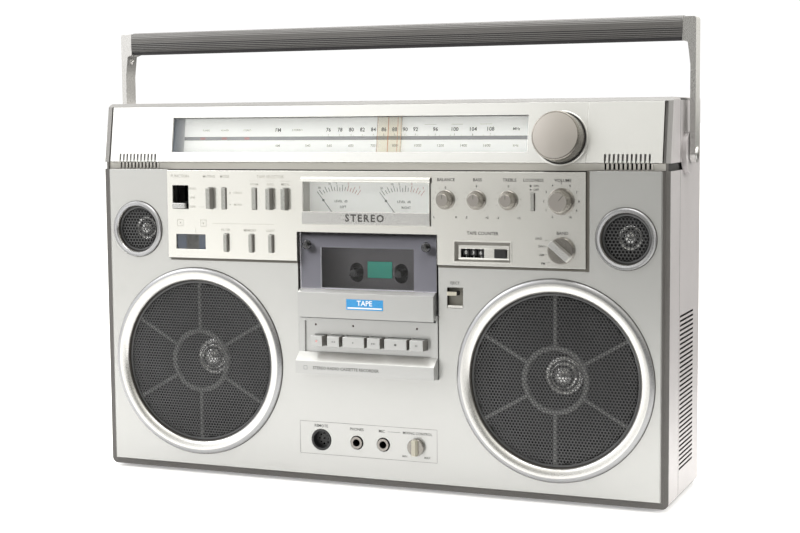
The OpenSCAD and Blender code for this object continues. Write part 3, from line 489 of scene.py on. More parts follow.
# The floor paper is plain and pale to the camera. In the light it sends back it is graded instead, bright
# far to the left and darker to the right and behind, so that the fronts reflect what they do in the photo.
FLOOR = surface("floor_paper", (0.95, 0.95, 0.95), 0.7, vary=0.008, rough_vary=0.03, patch_scale=3.0,
                Emission_Color=(1, 1, 1, 1), Emission_Strength=0.32)
paper = FLOOR.node_tree
on_floor = position(paper)
distance = add(paper, "VectorMath", on_floor, operation="LENGTH").outputs["Value"]
direction = add(paper, "VectorMath", on_floor, operation="NORMALIZE").outputs["Vector"]
far_tone = ramp(paper, add(paper, "SeparateXYZ", direction).outputs["X"], -0.10, -0.52, 0.13, 0.92)
tone = ramp(paper, distance, 0.45, 1.1, 0.98, far_tone)
behind = ramp(paper, add(paper, "SeparateXYZ", on_floor).outputs["Y"], 0.15, 0.7, 1.0, 0.15)
shade = add(paper, "Math", tone, behind, operation="MULTIPLY").outputs["Value"]
by_ray(paper, "Is Camera Ray", add(paper, "BsdfDiffuse", Color=shade), paper.nodes["Principled BSDF"])
floor_mesh = bpy.data.meshes.new("floor")
reach = 60.0
floor_mesh.from_pydata([(-reach, -reach, 0), (reach, -reach, 0), (reach, reach, 0), (-reach, reach, 0)], [],
                       [(0, 1, 2, 3)])
floor_mesh.materials.append(FLOOR)
floor = bpy.data.objects.new("floor", floor_mesh)
floor.location.z = cad_low[2]
scene.collection.objects.link(floor)


# ---------------------------------------------------------------- case and panels

def outer(c, n):
    """Whether a face is part of the outside of the case."""
    side = abs(n.x) > 0.6 and abs(c.x) > CASE_W / 2 - 0.6
    under = n.z < -0.7 and c.z < 0.6
    top = n.z > 0.7 and c.z > CASE_H - 1
    back = n.y > 0.4 and c.y > CASE_D - 1
    return side or under or top or back


def corner(c, n):
    return abs(c.x) > CASE_W / 2 - 16 and c.y > CASE_D - 16 and abs(n.z) < 0.2


# Faces set back more than 2.4 mm inside the front case are painted near-black as painted shade. The top, the
# slanted border above the groove and the walls beside the tuner panel take a lighter copy of the border colour,
# painted light.
rounded("front_cabinet", "front_case", 0.9, BORDER, CASE, DARK_AND_SHADE, BORDER_LIT, paint=(
    (2, lambda c, n: c.y * cos(LEAN) - max(0, c.z - GROOVE_TOP) * sin(LEAN) > 2.4 and not outer(c, n)),
    (0, lambda c, n: abs(n.x) > 0.6 and abs(c.x) > 255 and c.y < 16),
    (1, lambda c, n: outer(c, n)),
    (3, lambda c, n: n.z > 0.7 and c.z > CASE_H - 1),
    (3, lambda c, n: n.y < -0.5 and c.z > GROOVE_TOP + 1 and c.y < 12),
    (3, lambda c, n: abs(n.x) > 0.6 and 255 < abs(c.x) < CASE_W / 2 - 0.6 and c.y < 16 and c.z > GROOVE_TOP)))
# The case sides above the groove, ahead of y 84, are painted near-black.
rounded("rear_cabinet", "rear_case", 0.7, DARK_AND_SHADE, CASE, slot="case_plastic", paint=(
    (1, lambda c, n: outer(c, n) or corner(c, n)),
    (0, lambda c, n: abs(n.x) > 0.6 and c.z > GROOVE_TOP - 1 and c.y < 84),
    (1, lambda c, n: abs(c.x) > CASE_W / 2 + 0.4)))
# The silver sheet's hole walls and edges, the tuner sheet's right edge and the control panel's right edge and
# underside are painted near-black as painted shade.
rounded("front_panel", "front_sheet", 0.45, SILVER, TRIM_SHADE, paint=(
    (1, lambda c, n: c.y > -2.8 and n.y > -0.5),))
rounded("tuner_panel", "tuner_sheet", 0.35, TUNER_AND_HIGHLIGHT, TRIM_SHADE, paint=(
    (1, lambda c, n: n.x > 0.5 and c.x > 200),))
rounded("control_panel", "control_sheet", 0.35, CHAMPAGNE, TRIM_SHADE, paint=(
    (1, lambda c, n: n.x > 0.5 and c.x > 190),
    (1, lambda c, n: n.z < -0.5 and c.z < 197)))

# Dark strips painted as the shadow along the lower and right edges of the control panel.
blocks("control_panel_shadow", [
    ((196.3, -3.3, 193.9), (198.8, -2.8, 276.3)), ((-195, -3.3, 193.9), (-66.4, -2.8, 196.2)),
    ((66.4, -3.3, 193.9), (196.3, -2.8, 196.2))], GAP_SHADE, slot="silver_panel", bevel=0.2)

# A bead fills the step between the silver panel and the border, down both sides and along the bottom.
bead = Shape()
loops = []
for t, y in ((0, 1.6), (0, -0.1), (1.9, -1.7), (2.05, -2.7), (2.35, -2.95), (2.62, -2.7), (2.62, 1.6)):
    x, z = 260.95 - t, 4.05 + t
    loops.append([(-x, y, GROOVE_LOW), (-x, y, z), (x, y, z), (x, y, GROOVE_LOW)])
bead.mesh([p for loop in loops for p in loop],
          [(a * 4 + i, a * 4 + i + 1, a * 4 + i + 5, a * 4 + i + 4) for a in range(6) for i in range(3)])
bead.paint(lambda c, n: c.y < -2.2, 1)
bead.make("panel_bead", BORDER, SILVER, smooth=30)

# Lining of the groove, with the bars of the two microphone combs.
boxes = [((-208.6, 1.5, 276.5), (208.6, 2.45, 282.6))]
for side in (-1, 1):
    for inner, edge, top in ((250.5, 260.9, 282.6), (208.6, 250.5, 277.4)):
        boxes.append(((min(side * inner, side * edge), 1.5, 276.5),
                      (max(side * inner, side * edge), 2.45, top)))
    for n in range(12):
        x = side * 229.5 - 21.4 + n * 3.7
        boxes.append(((x + 0.05, 0.9, 277.4), (x + 2.05, 2.45, 282.6)))
blocks("groove_lining", boxes, GROOVE_AND_SHADE, slot="border_plastic", bevel=0.12)

for node, finish in {
    "clear_windows": CLEAR, "deck_chassis": WELL, "electronics": DARK_AND_SHADE, "drive_belt": RUBBER,
    "tape_heads": SOCKET, "motor_pulley": SOCKET, "flywheel": CHASSIS, "take_up_spindle": BLACK,
    "supply_spindle": BLACK,
}.items():
    for holder in frame["nodes"][node].material_slots:
        holder.material = finish


# ---------------------------------------------------------------- speakers

def pierced(shape, cx, cz, radius, pitch, hole, front, back):
    """A disc of thin sheet with close rows of six-sided holes."""
    reach = pitch / sqrt(3)
    rows = int(radius / (reach * 1.5)) + 1
    ring = [(sin(radians(60 * k)), cos(radians(60 * k))) for k in range(6)]
    points, faces = [], []
    for row in range(-rows, rows + 1):
        z = row * reach * 1.5
        for col in range(-rows - 4, rows + 5):
            x = (col + 0.5 * (row % 2)) * pitch
            if hypot(x, z) > radius - reach:
                continue
            start = len(points)
            points += [(cx + x + reach * u, front, cz + z + reach * v) for u, v in ring]
            points += [(cx + x + hole * u, front, cz + z + hole * v) for u, v in ring]
            points += [(cx + x + hole * u, back, cz + z + hole * v) for u, v in ring]
            for k in range(6):
                m = (k + 1) % 6
                faces.append((start + k, start + m, start + 6 + m, start + 6 + k))
                faces.append((start + 6 + k, start + 6 + m, start + 12 + m, start + 12 + k))
    shape.mesh(points, faces)


def speaker(name, cx, cz, ring_r, grille_r, crest, pitch, spider):
    """The ring and pierced sheet of one speaker, and for a woofer the six-armed holder of its tweeter."""
    def far(c):
        return hypot(c.x - cx, c.z - cz)
    ring = Shape()
    ring.turned([
        (ring_r + 0.5, -2.95), (ring_r + 0.45, -3.25), (ring_r, -3.3), (ring_r, -3.9), (ring_r - 0.25, -4.6),
        (ring_r - 0.9, -5.3), (ring_r - 2.2, 0.3 - crest), (ring_r - 3.8, -crest),
        (grille_r + 3.2, 0.35 - crest), (grille_r + 1.9, 1.1 - crest), (grille_r + 1.0, 2.0 - crest),
        (grille_r + 0.5, 2.9 - crest), (grille_r + 0.4, 3.4 - crest), (grille_r, 3.5 - crest),
        (grille_r, 1.9), (grille_r + 2, 1.9)], cx, cz, 160)
    # The ring's outer lip and its inner edge by the grille are painted near-black as painted shade; its outer
    # slope takes a darker trim.
    ring.paint(lambda c, n: far(c) > ring_r - 0.02 or far(c) < grille_r + 0.44, 1)
    ring.paint(lambda c, n: ring_r - 3.4 < far(c) < ring_r - 0.02, 2)
    ring.make(name + "_ring", TRIM, TRIM_SHADE, TRIM_OUTER, node="speaker_rings", smooth=40)

    sheet = Shape()
    pierced(sheet, cx, cz, grille_r - 0.9, pitch, pitch * 0.41, -0.45, 0.15)
    sheet.turned([(grille_r - 0.1, 0.6), (grille_r - 0.1, -0.5), (grille_r - 0.5, -0.75),
                  (grille_r - 1.5, -0.7), (grille_r - 2.1, -0.45), (grille_r - 2.1, 0.2)], cx, cz, 160)
    sheet.make(name + "_grille", MESH_STEEL, node="speaker_grilles", smooth=30)
    if spider:
        arms = Shape()
        arms.turned([(29.3, 2.6), (29.3, 0.9), (28.9, 0.5), (25.2, 0.5), (24.8, 0.9), (24.8, 2.6)],
                    cx, cz, 96)
        section = [(-1.55, 0.9), (-1.2, 0.5), (1.2, 0.5), (1.55, 0.9), (1.55, 2.6), (-1.55, 2.6)]
        for k in range(6):
            arms.move(arms.prism(section, "z", 28.6, grille_r - 0.4), placed(cx, 0, cz, 60 * k))
        arms.make(name + "_spider", SPIDER, node="speaker_grilles", slot="grille_metal")


def bright_cap(name, cx, cz, segments, profile):
    cap = Shape()
    cap.turned(profile, cx, cz, segments)
    cap.make(name + "_cap", DOME, slot="bright_trim", smooth=50)


def woofer(name, cx, cz):
    cone = Shape()
    ribs = [(60 - t * 2.4, 12 + 19 * (t / 18) ** 0.9 + (0.25 if t % 4 == 2 else 0)) for t in range(19)]
    cone.turned([(16.6, 31.4)] + ribs[::-1] + [(60.6, 11)], cx, cz)
    cone.mat = 1
    cone.turned([(60.6, 11), (61, 9.6), (62.4, 8.2), (64.4, 7.4), (66.6, 7.5), (68.4, 8.6), (69.2, 10.4)],
                cx, cz)
    cone.mat = 2
    cone.turned([(69.2, 10.4), (70.4, 9.8), (71, 7.2), (80, 7.2), (80, 12)], cx, cz)
    cone.make(name + "_cone", CONE, RUBBER, DARK_AND_SHADE, node="speaker_drivers")
    bright_cap(name, cx, cz, 72, [
        (17, 31.6), (17, 27.4), (16.4, 26.2), (15.4, 25.9), (14.6, 26.6), (14.3, 27.2), (13.4, 25.8),
        (12, 24.3), (10.8, 23.6), (10.4, 23.8), (10.1, 23.2), (8.8, 21.4), (6.6, 19.6), (3.8, 18.5),
        (0, 18.1)])


def tweeter(name, cx, cz):
    cone = Shape()
    cone.turned([(10.6, 13.8), (14, 12.4), (17, 10.2), (19.4, 8.2)], cx, cz)
    cone.mat = 1
    cone.turned([(19.4, 8.2), (20, 7.2), (21.6, 6.8), (26, 6.8), (26, 10)], cx, cz)
    cone.make(name + "_cone", CONE, DARK_AND_SHADE, node="speaker_drivers")
    bright_cap(name, cx, cz, 64, [(10.6, 14), (10.5, 12.6), (10, 12.1), (9.3, 12.3), (8.8, 12.9), (7.6, 11),
                                  (5.4, 9), (3, 7.9), (0, 7.5)])


WOOFER_X, WOOFER_Z = 168.6, 101.7
TWEETER_X, TWEETER_Z = 229.4, 221.5
for side, mark in SIDES:
    speaker(mark + "_woofer", side * WOOFER_X, WOOFER_Z, 85.5, 73.5, 6.2, 2.8, True)
    speaker(mark + "_tweeter", side * TWEETER_X, TWEETER_Z, 25.4, 20.8, 5.4, 3.1, False)
    woofer(mark + "_woofer", side * WOOFER_X, WOOFER_Z)
    tweeter(mark + "_tweeter", side * TWEETER_X, TWEETER_Z)


# ---------------------------------------------------------------- knobs, bars and keys

# The tuning knob, drawn on the slanted border, with a dark ring painted round its foot as the shade of its recess.
TUNING_X, TUNING_S = 173.1, 20.5
knob = Shape()
knob.turned([(0, -18.3), (19.1, -18.3), (19.6, -18.2), (20.1, -17.8), (20.4, -17), (20.5, -16), (20.5, -2.4),
             (19.9, -2), (19.9, -1.5), (0, -1.5)], TUNING_X, TUNING_S, 128)
knob.mat = 1
knob.turned([(0, -18.34), (18.7, -18.34), (18.9, -18.26)], TUNING_X, TUNING_S, 128)
knob.make("tuning_cap", KNOB, TUNING_FACE, node="tuning_knob", slanted=True, smooth=30)
gap = Shape()
gap.turned([(19.5, -1.34), (21.3, -1.36), (21.5, -1.34)], TUNING_X, TUNING_S)
gap.mat = 1
gap.turned([(21.5, -1.34), (21.7, -1.6), (22.5, -1.65), (22.8, -1.32)], TUNING_X, TUNING_S)
gap.make("tuning_recess", DARK_AND_SHADE, TUNER_AND_HIGHLIGHT, slot="black_plastic", slanted=True)


TONE_KNOBS = (74, 101.8, 129.9)
TONE_Z = 251.8
VOLUME_X, VOLUME_Z = 175.5, 251.5


def tapered(word, cx, cz, base, face, front, flutes, turned_by=0):
    """A small turned knob: a skirt, a finely fluted taper and a flat face with a pointer line."""
    node = word + "_knob"
    shape = Shape()
    segments = flutes * 4
    shape.turned([(0, -5.2), (base - 0.6, -5.2), (base, -5.5), (base, -6.4), (base - 0.5, -6.9),
                  (base - 0.9, -7)], cx, cz, segments)
    shape.mat = 1
    taper = shape.turned([(base - 0.9, -7), (face + 0.5, 1.6 - front), (face + 0.15, 0.5 - front),
                          (face - 0.3, -front)], cx, cz, segments)
    for v in taper:
        if v.is_valid:
            dx, dz = v.co.x - cx, v.co.z - cz
            turn = round(atan2(dx, dz) / (2 * pi) * segments)
            if turn % 4 < 2 and v.co.y > 0.2 - front:
                v.co.x, v.co.z = cx + dx * 0.965, cz + dz * 0.965
    shape.mat = 2
    shape.turned([(0, -front), (face - 0.3, -front)], cx, cz, segments)
    shape.mat = 3
    line = shape.oblong(-0.22, 1.2, 0.22, face - 0.6, -front - 0.03)
    shape.move(line, placed(cx, 0, cz, turned_by))
    shape.make(word + "_cap", KNOB, KNOB, KNOB_FACE, INK, node=node, smooth=30)


tapered("volume", VOLUME_X, VOLUME_Z, 11, 7.8, 16, 40, 40)
for word, x in zip(("balance", "bass", "treble"), TONE_KNOBS):
    tapered(word, x, TONE_Z, 8.2, 5.2, 14, 32)


def bar_knob(name, node, cx, cz, r, back, front, angle, mat):
    """A disc with a bar across it for the fingers."""
    shape = Shape()
    shape.turned([(0, -back), (r - 0.3, -back), (r, -back - 0.3), (r, -back - 2.8), (r - 0.5, -back - 3.3),
                  (r - 1.1, -back - 3.4), (0, -back - 3.4)], cx, cz, 96)
    w = r * 0.34
    edge = -back - 3.3
    reach = r - 0.4
    half = degrees(asin(w / r))
    arcs = [(-w, -sqrt(reach ** 2 - w * w))]
    arcs += arc(0, 0, reach, 180 + half, 180 - half, 8) + arc(0, 0, reach, half, -half, 8)
    base = [(x, edge, z) for x, z in arcs]
    top = [(x * 0.72, -front, z * 0.95) for x, z in arcs]
    n = len(arcs)
    grip = shape.mesh(base + top, [(i, (i + 1) % n, (i + 1) % n + n, i + n) for i in range(n)] +
                      [tuple(range(n, 2 * n))])
    shape.move(grip, placed(cx, 0, cz, angle))
    shape.paint(lambda c, n: c.y > -back - 3.45 and n.y > -0.98 or hypot(c.x - cx, c.z - cz) < 0.01 and
                c.y > -back - 3.5, 1)
    shape.make(name, mat, KNOB_DARK, node=node, slot="knob_finish", bevel=0.35, smooth=25)


bar_knob("band_cap", "band_knob", 175.7, 211, 11.2, 5.4, 14, -50, BUTTON)
bar_knob("mixing_cap", "mixing_knob", 45.2, 37.2, 7.6, 3.5, 11, 0, BEIGE)

# Each bar's right side is painted dark as painted shade.
for node in ("muting_button", "mode_button", "normal_tape_button", "chrome_tape_button", "metal_tape_button",
             "filter_button", "memory_button", "lamp_button", "loudness_button"):
    rounded(node, node.replace("button", "bar"), 0.45, BAR, KEY_SHADE, slot="button_finish",
            paint=((1, lambda c, n: n.x > 0.5),))

KEY_PRINT_Z = 126.9
INK_LIFT = 0.03
# Arrows on each key, as their directions; the loop draws the other signs.
SYMBOLS = {"record": [], "rewind": [-1, -1], "play": [1], "forward": [1, 1], "stop": [], "pause": []}
for word, marks in SYMBOLS.items():
    node = word + "_key"
    # Each key's sides and underside are painted dark as painted shade.
    rounded(node, word + "_cap", 0.5, KEY, KEY_SHADE,
            paint=((1, lambda c, n: n.y > -0.5 and (abs(n.x) > 0.5 or n.z < -0.5)),))
    low, high = span(node)
    x, z = (low.x + high.x) / 2, KEY_PRINT_Z
    print_y = low.y - INK_LIFT
    sign = Shape()
    for i, way in enumerate(marks):
        at = x + (i - (len(marks) - 1) / 2) * 2.0
        sign.patch([(at - way * 0.9, z - 0.75), (at + way * 0.9, z), (at - way * 0.9, z + 0.75)], print_y)
    if word == "record":
        sign.mat = 1
        sign.patch(arc(x, z, 1.0, 0, 345, 23), print_y)
    if word == "stop":
        sign.oblong(x - 1, z - 0.8, x + 1, z + 0.8, print_y)
    if word == "pause":
        for at in (x - 0.7, x + 0.7):
            sign.oblong(at - 0.35, z - 0.9, at + 0.35, z + 0.9, print_y)
    sign.make(word + "_sign", INK, PINK_INK, body=node, slot="key_finish", flat=True)


# ---------------------------------------------------------------- tuner dial

def dial_s(z):
    """Place up the slanted dial's scale of a point at height z."""
    return (z - GROOVE_TOP + 9.5 * sin(LEAN)) / cos(LEAN)


# The scale glows faintly as painted light.
blocks("dial_plate", [
    ((-198, 9.5, 5), (148.5, 11, 43.4)), ((-194, 9.3, dial_s(302)), (144.4, 9.6, dial_s(305.2)), 1),
    ((-197.5, 5.5, 5.5), (-194.5, 9.5, 8.5), 2), ((145, 5.5, 5.5), (148, 9.5, 8.5), 2)],
    SCALE_GLOW, SCALE_BAR, DARK_AND_SHADE, node="dial_scale", slanted=True, bevel=0.1)

# The dial's left end wall, painted dark blue-grey at its edge and paling towards the scale as painted shade.
end_wall = Shape()
end_wall.prism([(-195.2, 2.4), (-194, 2.4), (-192.6, 6), (-190.4, 8.2), (-187, 9.25), (-195.2, 9.25)], "z",
               8.2, 43)
end_wall.make("dial_end_wall", DIAL_WALL_SHADE, slot="scale_print", slanted=True, bevel=0.1)

# Places are guesses by rule: the FM numbers close up towards the high end, the AM numbers stand evenly.
FM_NUMBERS = (76, 78, 80, 82, 84, 86, 88, 90, 92, 96, 100, 104, 108)
AM_NUMBERS = (540, 560, 600, 700, 800, 1000, 1200, 1400, 1600)
DIAL_PRINT = 9.46
upper, lower, tick_foot = dial_s(310.8), dial_s(297), dial_s(305.4)
marks = Shape()
for number in FM_NUMBERS:
    x = -42.6 + 5.6 * (number - 76) - 0.028 * (number - 76) ** 2
    marks.text(str(number), 4.8, x, upper, DIAL_PRINT, 0.02)
    marks.oblong(x - 0.15, tick_foot, x + 0.15, dial_s(307.4), DIAL_PRINT)
for x in range(-48, 129, 10):
    marks.oblong(x - 0.1, tick_foot, x + 0.1, dial_s(306.5), DIAL_PRINT)
marks.text("FM", 4.8, -92, upper, DIAL_PRINT)
marks.text("MHz", 3.4, 131, upper, DIAL_PRINT)
marks.mat = 1
for step, number in enumerate(AM_NUMBERS):
    marks.text(str(number), 3.5, -62 + 20.9 * step, lower, DIAL_PRINT)
for word, size, x, height in (("AM", 3.5, -92, lower), ("kHz", 3.2, 131, lower), ("STEREO", 3.0, -73, upper),
                              ("TUNED", 2.4, -165, upper), ("POWER", 2.4, -146, upper),
                              ("STEREO", 2.4, -123, upper)):
    marks.text(word, size, x, height, DIAL_PRINT)
for x in (53.5, 78, 104):
    marks.oblong(x - 5.5, upper + 4.2, x + 5.5, upper + 4.5, DIAL_PRINT)
marks.mat = 2
for x in (-168, -146, -123):
    marks.oblong(x - 2.6, dial_s(302.6), x + 2.6, dial_s(304.6), 9.27)
marks.make("dial_print", INK, PALE_INK, PINK_INK, slot="scale_print", slanted=True, flat=True)

blocks("pointer_tab", [((5, 6.8, 8), (28, 8, 43.4))], POINTER, node="dial_pointer",
       slot="pointer_orange", slanted=True, bevel=0.2)
boxes = [((x - w / 2, 6.7, 8.6), (x + w / 2, 6.79, 41))
         for x, w in ((15.6, 0.55), (24.4, 0.3), (5.6, 0.2), (27.4, 0.2))]
blocks("pointer_lines", boxes + [((9, 6.8, 43), (23, 9.1, 46.4))], ORANGE, node="dial_pointer", slanted=True)


# ---------------------------------------------------------------- meters

# The meter faces glow faintly as painted light; the case's right outer wall is painted near-black and the window's
# left inner wall mid grey, both as painted shade.
rounded("meter_unit", "meter_case", 0.5, CHAMPAGNE, METER_GLOW, TRIM_SHADE, GROOVE_AND_SHADE, slot="bright_trim", paint=(
    (1, lambda c, n: c.y > 8 and n.y < -0.5),
    (2, lambda c, n: n.x > 0.5 and c.x > 59.5),
    (3, lambda c, n: n.x > 0.5 and c.x < -58 and c.y > -6)))
PIVOT_Z = 232.8
NEEDLE_X = 29.8
METER_PRINT = 8.36
for side, mark in SIDES:
    px = side * NEEDLE_X
    face = Shape()
    for i in range(15):
        a = radians(-38 + 76 * i / 14)
        face.mat = 1 if i > 9 else 0
        inner = 24.4 + 4.5 * abs(sin(a))
        outer_r = inner + (5.4 if i % 2 == 0 else 3.6)
        w = 0.24 if i < 10 else 0.28
        across = Vector((cos(a), -sin(a))) * w
        along = Vector((sin(a), cos(a)))
        points = [along * inner - across, along * inner + across, along * outer_r + across,
                  along * outer_r - across]
        face.patch([(px + p.x, PIVOT_Z + p.y) for p in points], METER_PRINT)
    for number, a in (("20", -36), ("10", -18), ("5", -6), ("0", 15), ("3", 34)):
        r = 31.2 + 4.5 * abs(sin(radians(a)))
        face.mat = 1 if a > 10 else 0
        face.text(number, 2.6, px + r * sin(radians(a)), PIVOT_Z + r * cos(radians(a)), METER_PRINT)
    face.mat = 0
    face.text("LEVEL  dB", 3.0, px + 1, 248.6, METER_PRINT)
    face.text(mark.upper(), 3.0, px + 3, 243.6, METER_PRINT)
    face.make(mark + "_meter_scale", INK, PINK_INK, slot="meter_face", flat=True)

    needle = Shape()
    blade = needle.prism([(-0.28, 1), (0.28, 1), (0.16, 31), (-0.16, 31)], "y", 2.1, 2.4)
    blob = needle.turned([(0, 1.9), (0.95, 1.9), (1.0, 2.0), (1.0, 2.5), (0, 2.5)], 0, 21.5, 24)
    hub = needle.turned([(0, 1.6), (1.4, 1.6), (1.6, 1.8), (1.6, 3), (0, 3)], 0, 0, 40)
    needle.move(blade + blob + hub, placed(px, 0, PIVOT_Z, -38))
    needle.make(mark + "_pointer", BLACK, node=mark + "_needle")

hood = Shape()
hood.prism([(-4.2, 265.8), (-6.0, 265.8), (-7.4, 266.4), (-7.7, 267.6), (-7.2, 269.4), (-6.0, 270.4),
            (-4.2, 270.6)], "x", -60.6, 60.6)
# The hood's right end is painted near-black as painted shade.
hood.mat = 1
hood.block((60.6, -6.8, 265.6), (61.2, -4.4, 270.2))
hood.make("meter_hood", CHAMPAGNE, TRIM_SHADE, slot="bright_trim", bevel=0.3)
blocks("name_bar", [((-60, -7.2, 229.3), (60, -6.5, 240))], BUTTON, slot="bright_trim", bevel=0.25)
words = Shape()
words.text("STEREO", 8.8, 0, 234.7, -7.24, 0.03, 1.28)
words.make("name_print", INK, slot="bright_trim", flat=True)


# ---------------------------------------------------------------- control panel

FACE = -5.03


def square(shape, x, z, half, line, y=FACE):
    """A small printed square outline."""
    inner = half - line
    for x0, z0, x1, z1 in ((-half, -half, half, -inner), (-half, inner, half, half),
                           (-half, -inner, -inner, inner), (inner, -inner, half, inner)):
        shape.oblong(x + x0, z + z0, x + x1, z + z1, y)


def stroke(shape, x0, z0, x1, z1, y=FACE, w=0.25):
    """A thin printed line between two points."""
    along = Vector((x1 - x0, z1 - z0)).normalized()
    off = Vector((-along.y, along.x)) * w / 2
    shape.patch([(x0 - off.x, z0 - off.y), (x1 - off.x, z1 - off.y), (x1 + off.x, z1 + off.y),
                 (x0 + off.x, z0 + off.y)], y)


legend = Shape()
for word, size, x, z in (
        ("FUNCTION", 2.6, -183, 270.2), ("MUTING", 2.3, -153, 270), ("MODE", 2.3, -137, 270),
        ("TAPE SELECTOR", 2.6, -91.5, 270), ("NORM", 2.0, -107.5, 263.4), ("CrO2", 2.0, -91.5, 263.4),
        ("METAL", 2.0, -76.5, 263.4), ("RADIO", 1.9, -170.5, 259), ("LINE", 1.9, -170.5, 251),
        ("TAPE", 1.9, -170.5, 242.6), ("STEREO", 1.8, -124, 255.5), ("MONO", 1.8, -124, 245),
        ("FILTER", 2.2, -137, 222.2), ("MEMORY", 2.2, -112.5, 222.2), ("LIGHT", 2.2, -92, 222.2),
        ("BALANCE", 2.6, 74.5, 268.6), ("BASS", 2.6, 102.6, 268.6), ("TREBLE", 2.6, 131, 268.6),
        ("LOUDNESS", 2.5, 151.6, 268.6), ("VOLUME", 2.6, 177, 268.6), ("ON", 1.9, 154, 264),
        ("OFF", 1.9, 154, 260.8), ("TAPE COUNTER", 2.7, 107, 223.8), ("BAND", 2.6, 176.5, 225.2),
        ("L", 2.0, 63.6, 237), ("R", 2.0, 83.6, 237), ("0", 2.0, 101.8, 263.4), ("0", 2.0, 129.9, 263.4),
        ("0", 2.0, 74, 261.8), ("-5", 2.0, 92.6, 237), ("+5", 2.0, 111, 237), ("-5", 2.0, 120.6, 237),
        ("+5", 2.0, 139, 237), ("SW2", 2.0, 156, 220.4), ("SW1", 2.0, 158.6, 214), ("AM", 2.0, 158.6, 207),
        ("FM", 2.0, 160, 199.8)):
    legend.text(word, size * 1.42, x, z, FACE, 0.018)
for n in range(11):
    a = radians(-150 + 30 * n)
    legend.text(str(n), 2.7, VOLUME_X + 15 * sin(a), VOLUME_Z + 15 * cos(a), FACE, 0.018)
for x in TONE_KNOBS:
    for n in range(-5, 6):
        across, up = sin(radians(28 * n)), cos(radians(28 * n))
        stroke(legend, x + 10.6 * across, TONE_Z + 10.6 * up, x + 11.5 * across, TONE_Z + 11.5 * up)
for x, z in ((164.2, 219.2), (163.4, 214), (163.4, 207.4), (166, 201)):
    stroke(legend, x - 2.6, z, x, z)
for x in (-183.5, -159.5):
    square(legend, x, 228, 3.1, 0.5)
    legend.patch(arc(x, 228, 0.9, 0, 330, 11), FACE)
stroke(legend, -150.5, 228, -88, 228)
stroke(legend, -167.6, 224.5, -167.6, 218.4)
for x in (-107.5, -91.5, -76.5):
    stroke(legend, x - 5, 266.4, x + 5, 266.4)
stroke(legend, -163.5, 242.6, -158, 242.6)
for x0, x1, z, half in ((148.4, 150, 264, 0.8), (148.4, 150, 260.8, 0.5), (-132.6, -131.2, 255.5, 0.7),
                        (-132.6, -131.2, 245, 0.4)):
    legend.oblong(x0, z - half, x1, z + half, FACE)
legend.paint(lambda c, n: c.x < -60, 1)
legend.make("panel_print", INK, PALE_INK, slot="champagne_panel", flat=True)

blocks("function_slot", [
    ((x0, 3.4, z0), (x1, 4.6, z1)) for x0, z0, x1, z1 in (
        (-192.5, 239, -190.1, 264), (-175.4, 239, -173, 264), (-190.1, 239, -175.4, 241),
        (-190.1, 261.8, -175.4, 264))],
    BLACK, bevel=0.15)
rounded("function_lever", "function_knob", 0.6, BUTTON, BLACK, paint=((1, lambda c, n: c.y > -5.3),))
blocks("function_ridges", [
    ((-189.3, -8.85, 242.5 + i * 1.15), (-176.9, -8.5, 242.9 + i * 1.15)) for i in range(3)],
    KEY, body="function_lever", slot="button_finish", bevel=0.1)
blocks("display_panes", [
    ((-188, -2.7, 204.3), (-178.5, -2.2, 217.7)), ((-165.3, -2.7, 204.3), (-157.9, -2.2, 217.7)),
    ((-178.5, -2.5, 204.3), (-165.3, -2, 217.7), 1)], BLUE_GLASS, DARK_AND_SHADE, slot="smoked_plastic")

# The tape counter sits in a shallow tray with sloping sides, painted darker as painted shade.
tray = Shape()
rim = [(80.9, 198.8), (132.9, 198.8), (132.9, 217.8), (80.9, 217.8)]
lip = [(82.0, 199.9), (131.8, 199.9), (131.8, 216.7), (82.0, 216.7)]
bed = [(84.4, 201.4), (129.6, 201.4), (129.6, 213.6), (84.4, 213.6)]
loops = [[(x, -4.9, z) for x, z in rim], [(x, -5.6, z) for x, z in rim], [(x, -5.6, z) for x, z in lip],
         [(x, -2.4, z) for x, z in bed]]
points = [p for loop in loops for p in loop]
tray.mesh(points, [(a * 4 + i, a * 4 + (i + 1) % 4, a * 4 + 4 + (i + 1) % 4, a * 4 + 4 + i)
                   for a in range(3) for i in range(4)])
for x0, z0, x1, z1 in ((84.4, 201.4, 129.6, 203), (84.4, 210.7, 129.6, 213.6), (84.4, 203, 86.6, 210.7),
                       (107.4, 203, 116.5, 210.7), (127.7, 203, 129.6, 210.7)):
    tray.block((x0, -2.4, z0), (x1, -1.2, z1))
tray.paint(lambda c, n: c.y > -5 and abs(n.y) < 0.95, 1)
tray.make("counter_tray", CHAMPAGNE, TRAY_SHADE, bevel=0.15)
rounded("reset_button", "reset_cap", 0.4, BLACK)
WHEEL_X, WHEEL_Y, WHEEL_Z, WHEEL_STEP = 90.3, 7, 207, 6.6
wheels = Shape()
digits = Shape()
for n, shown in enumerate((0, 3, 6)):
    x = WHEEL_X + n * WHEEL_STEP
    wheel = wheels.turned([(0, -2.9), (6.2, -2.9), (6.6, -2.5), (6.6, 2.5), (6.2, 2.9), (0, 2.9)], 0, 0, 60)
    wheels.move(wheel, placed(x, WHEEL_Y, WHEEL_Z, 90, "Z"))
    for k in range(10):
        digits.move(digits.text(str((shown + k) % 10), 4.4, x, WHEEL_Z, 0.35),
                    placed(0, WHEEL_Y, WHEEL_Z, 36 * k, "X") @ placed(0, -WHEEL_Y, -WHEEL_Z))
axle = wheels.turned([(0, -13.8), (1.5, -13.8), (1.5, 13.8), (0, 13.8)], 0, 0, 32)
wheels.move(axle, placed(96.8, WHEEL_Y, WHEEL_Z, 90, "Z"))
wheels.make("number_wheels", BLACK, node="counter_wheels")
digits.make("counter_numbers", WHITE_INK, body="counter_wheels", slot="black_plastic", flat=True)


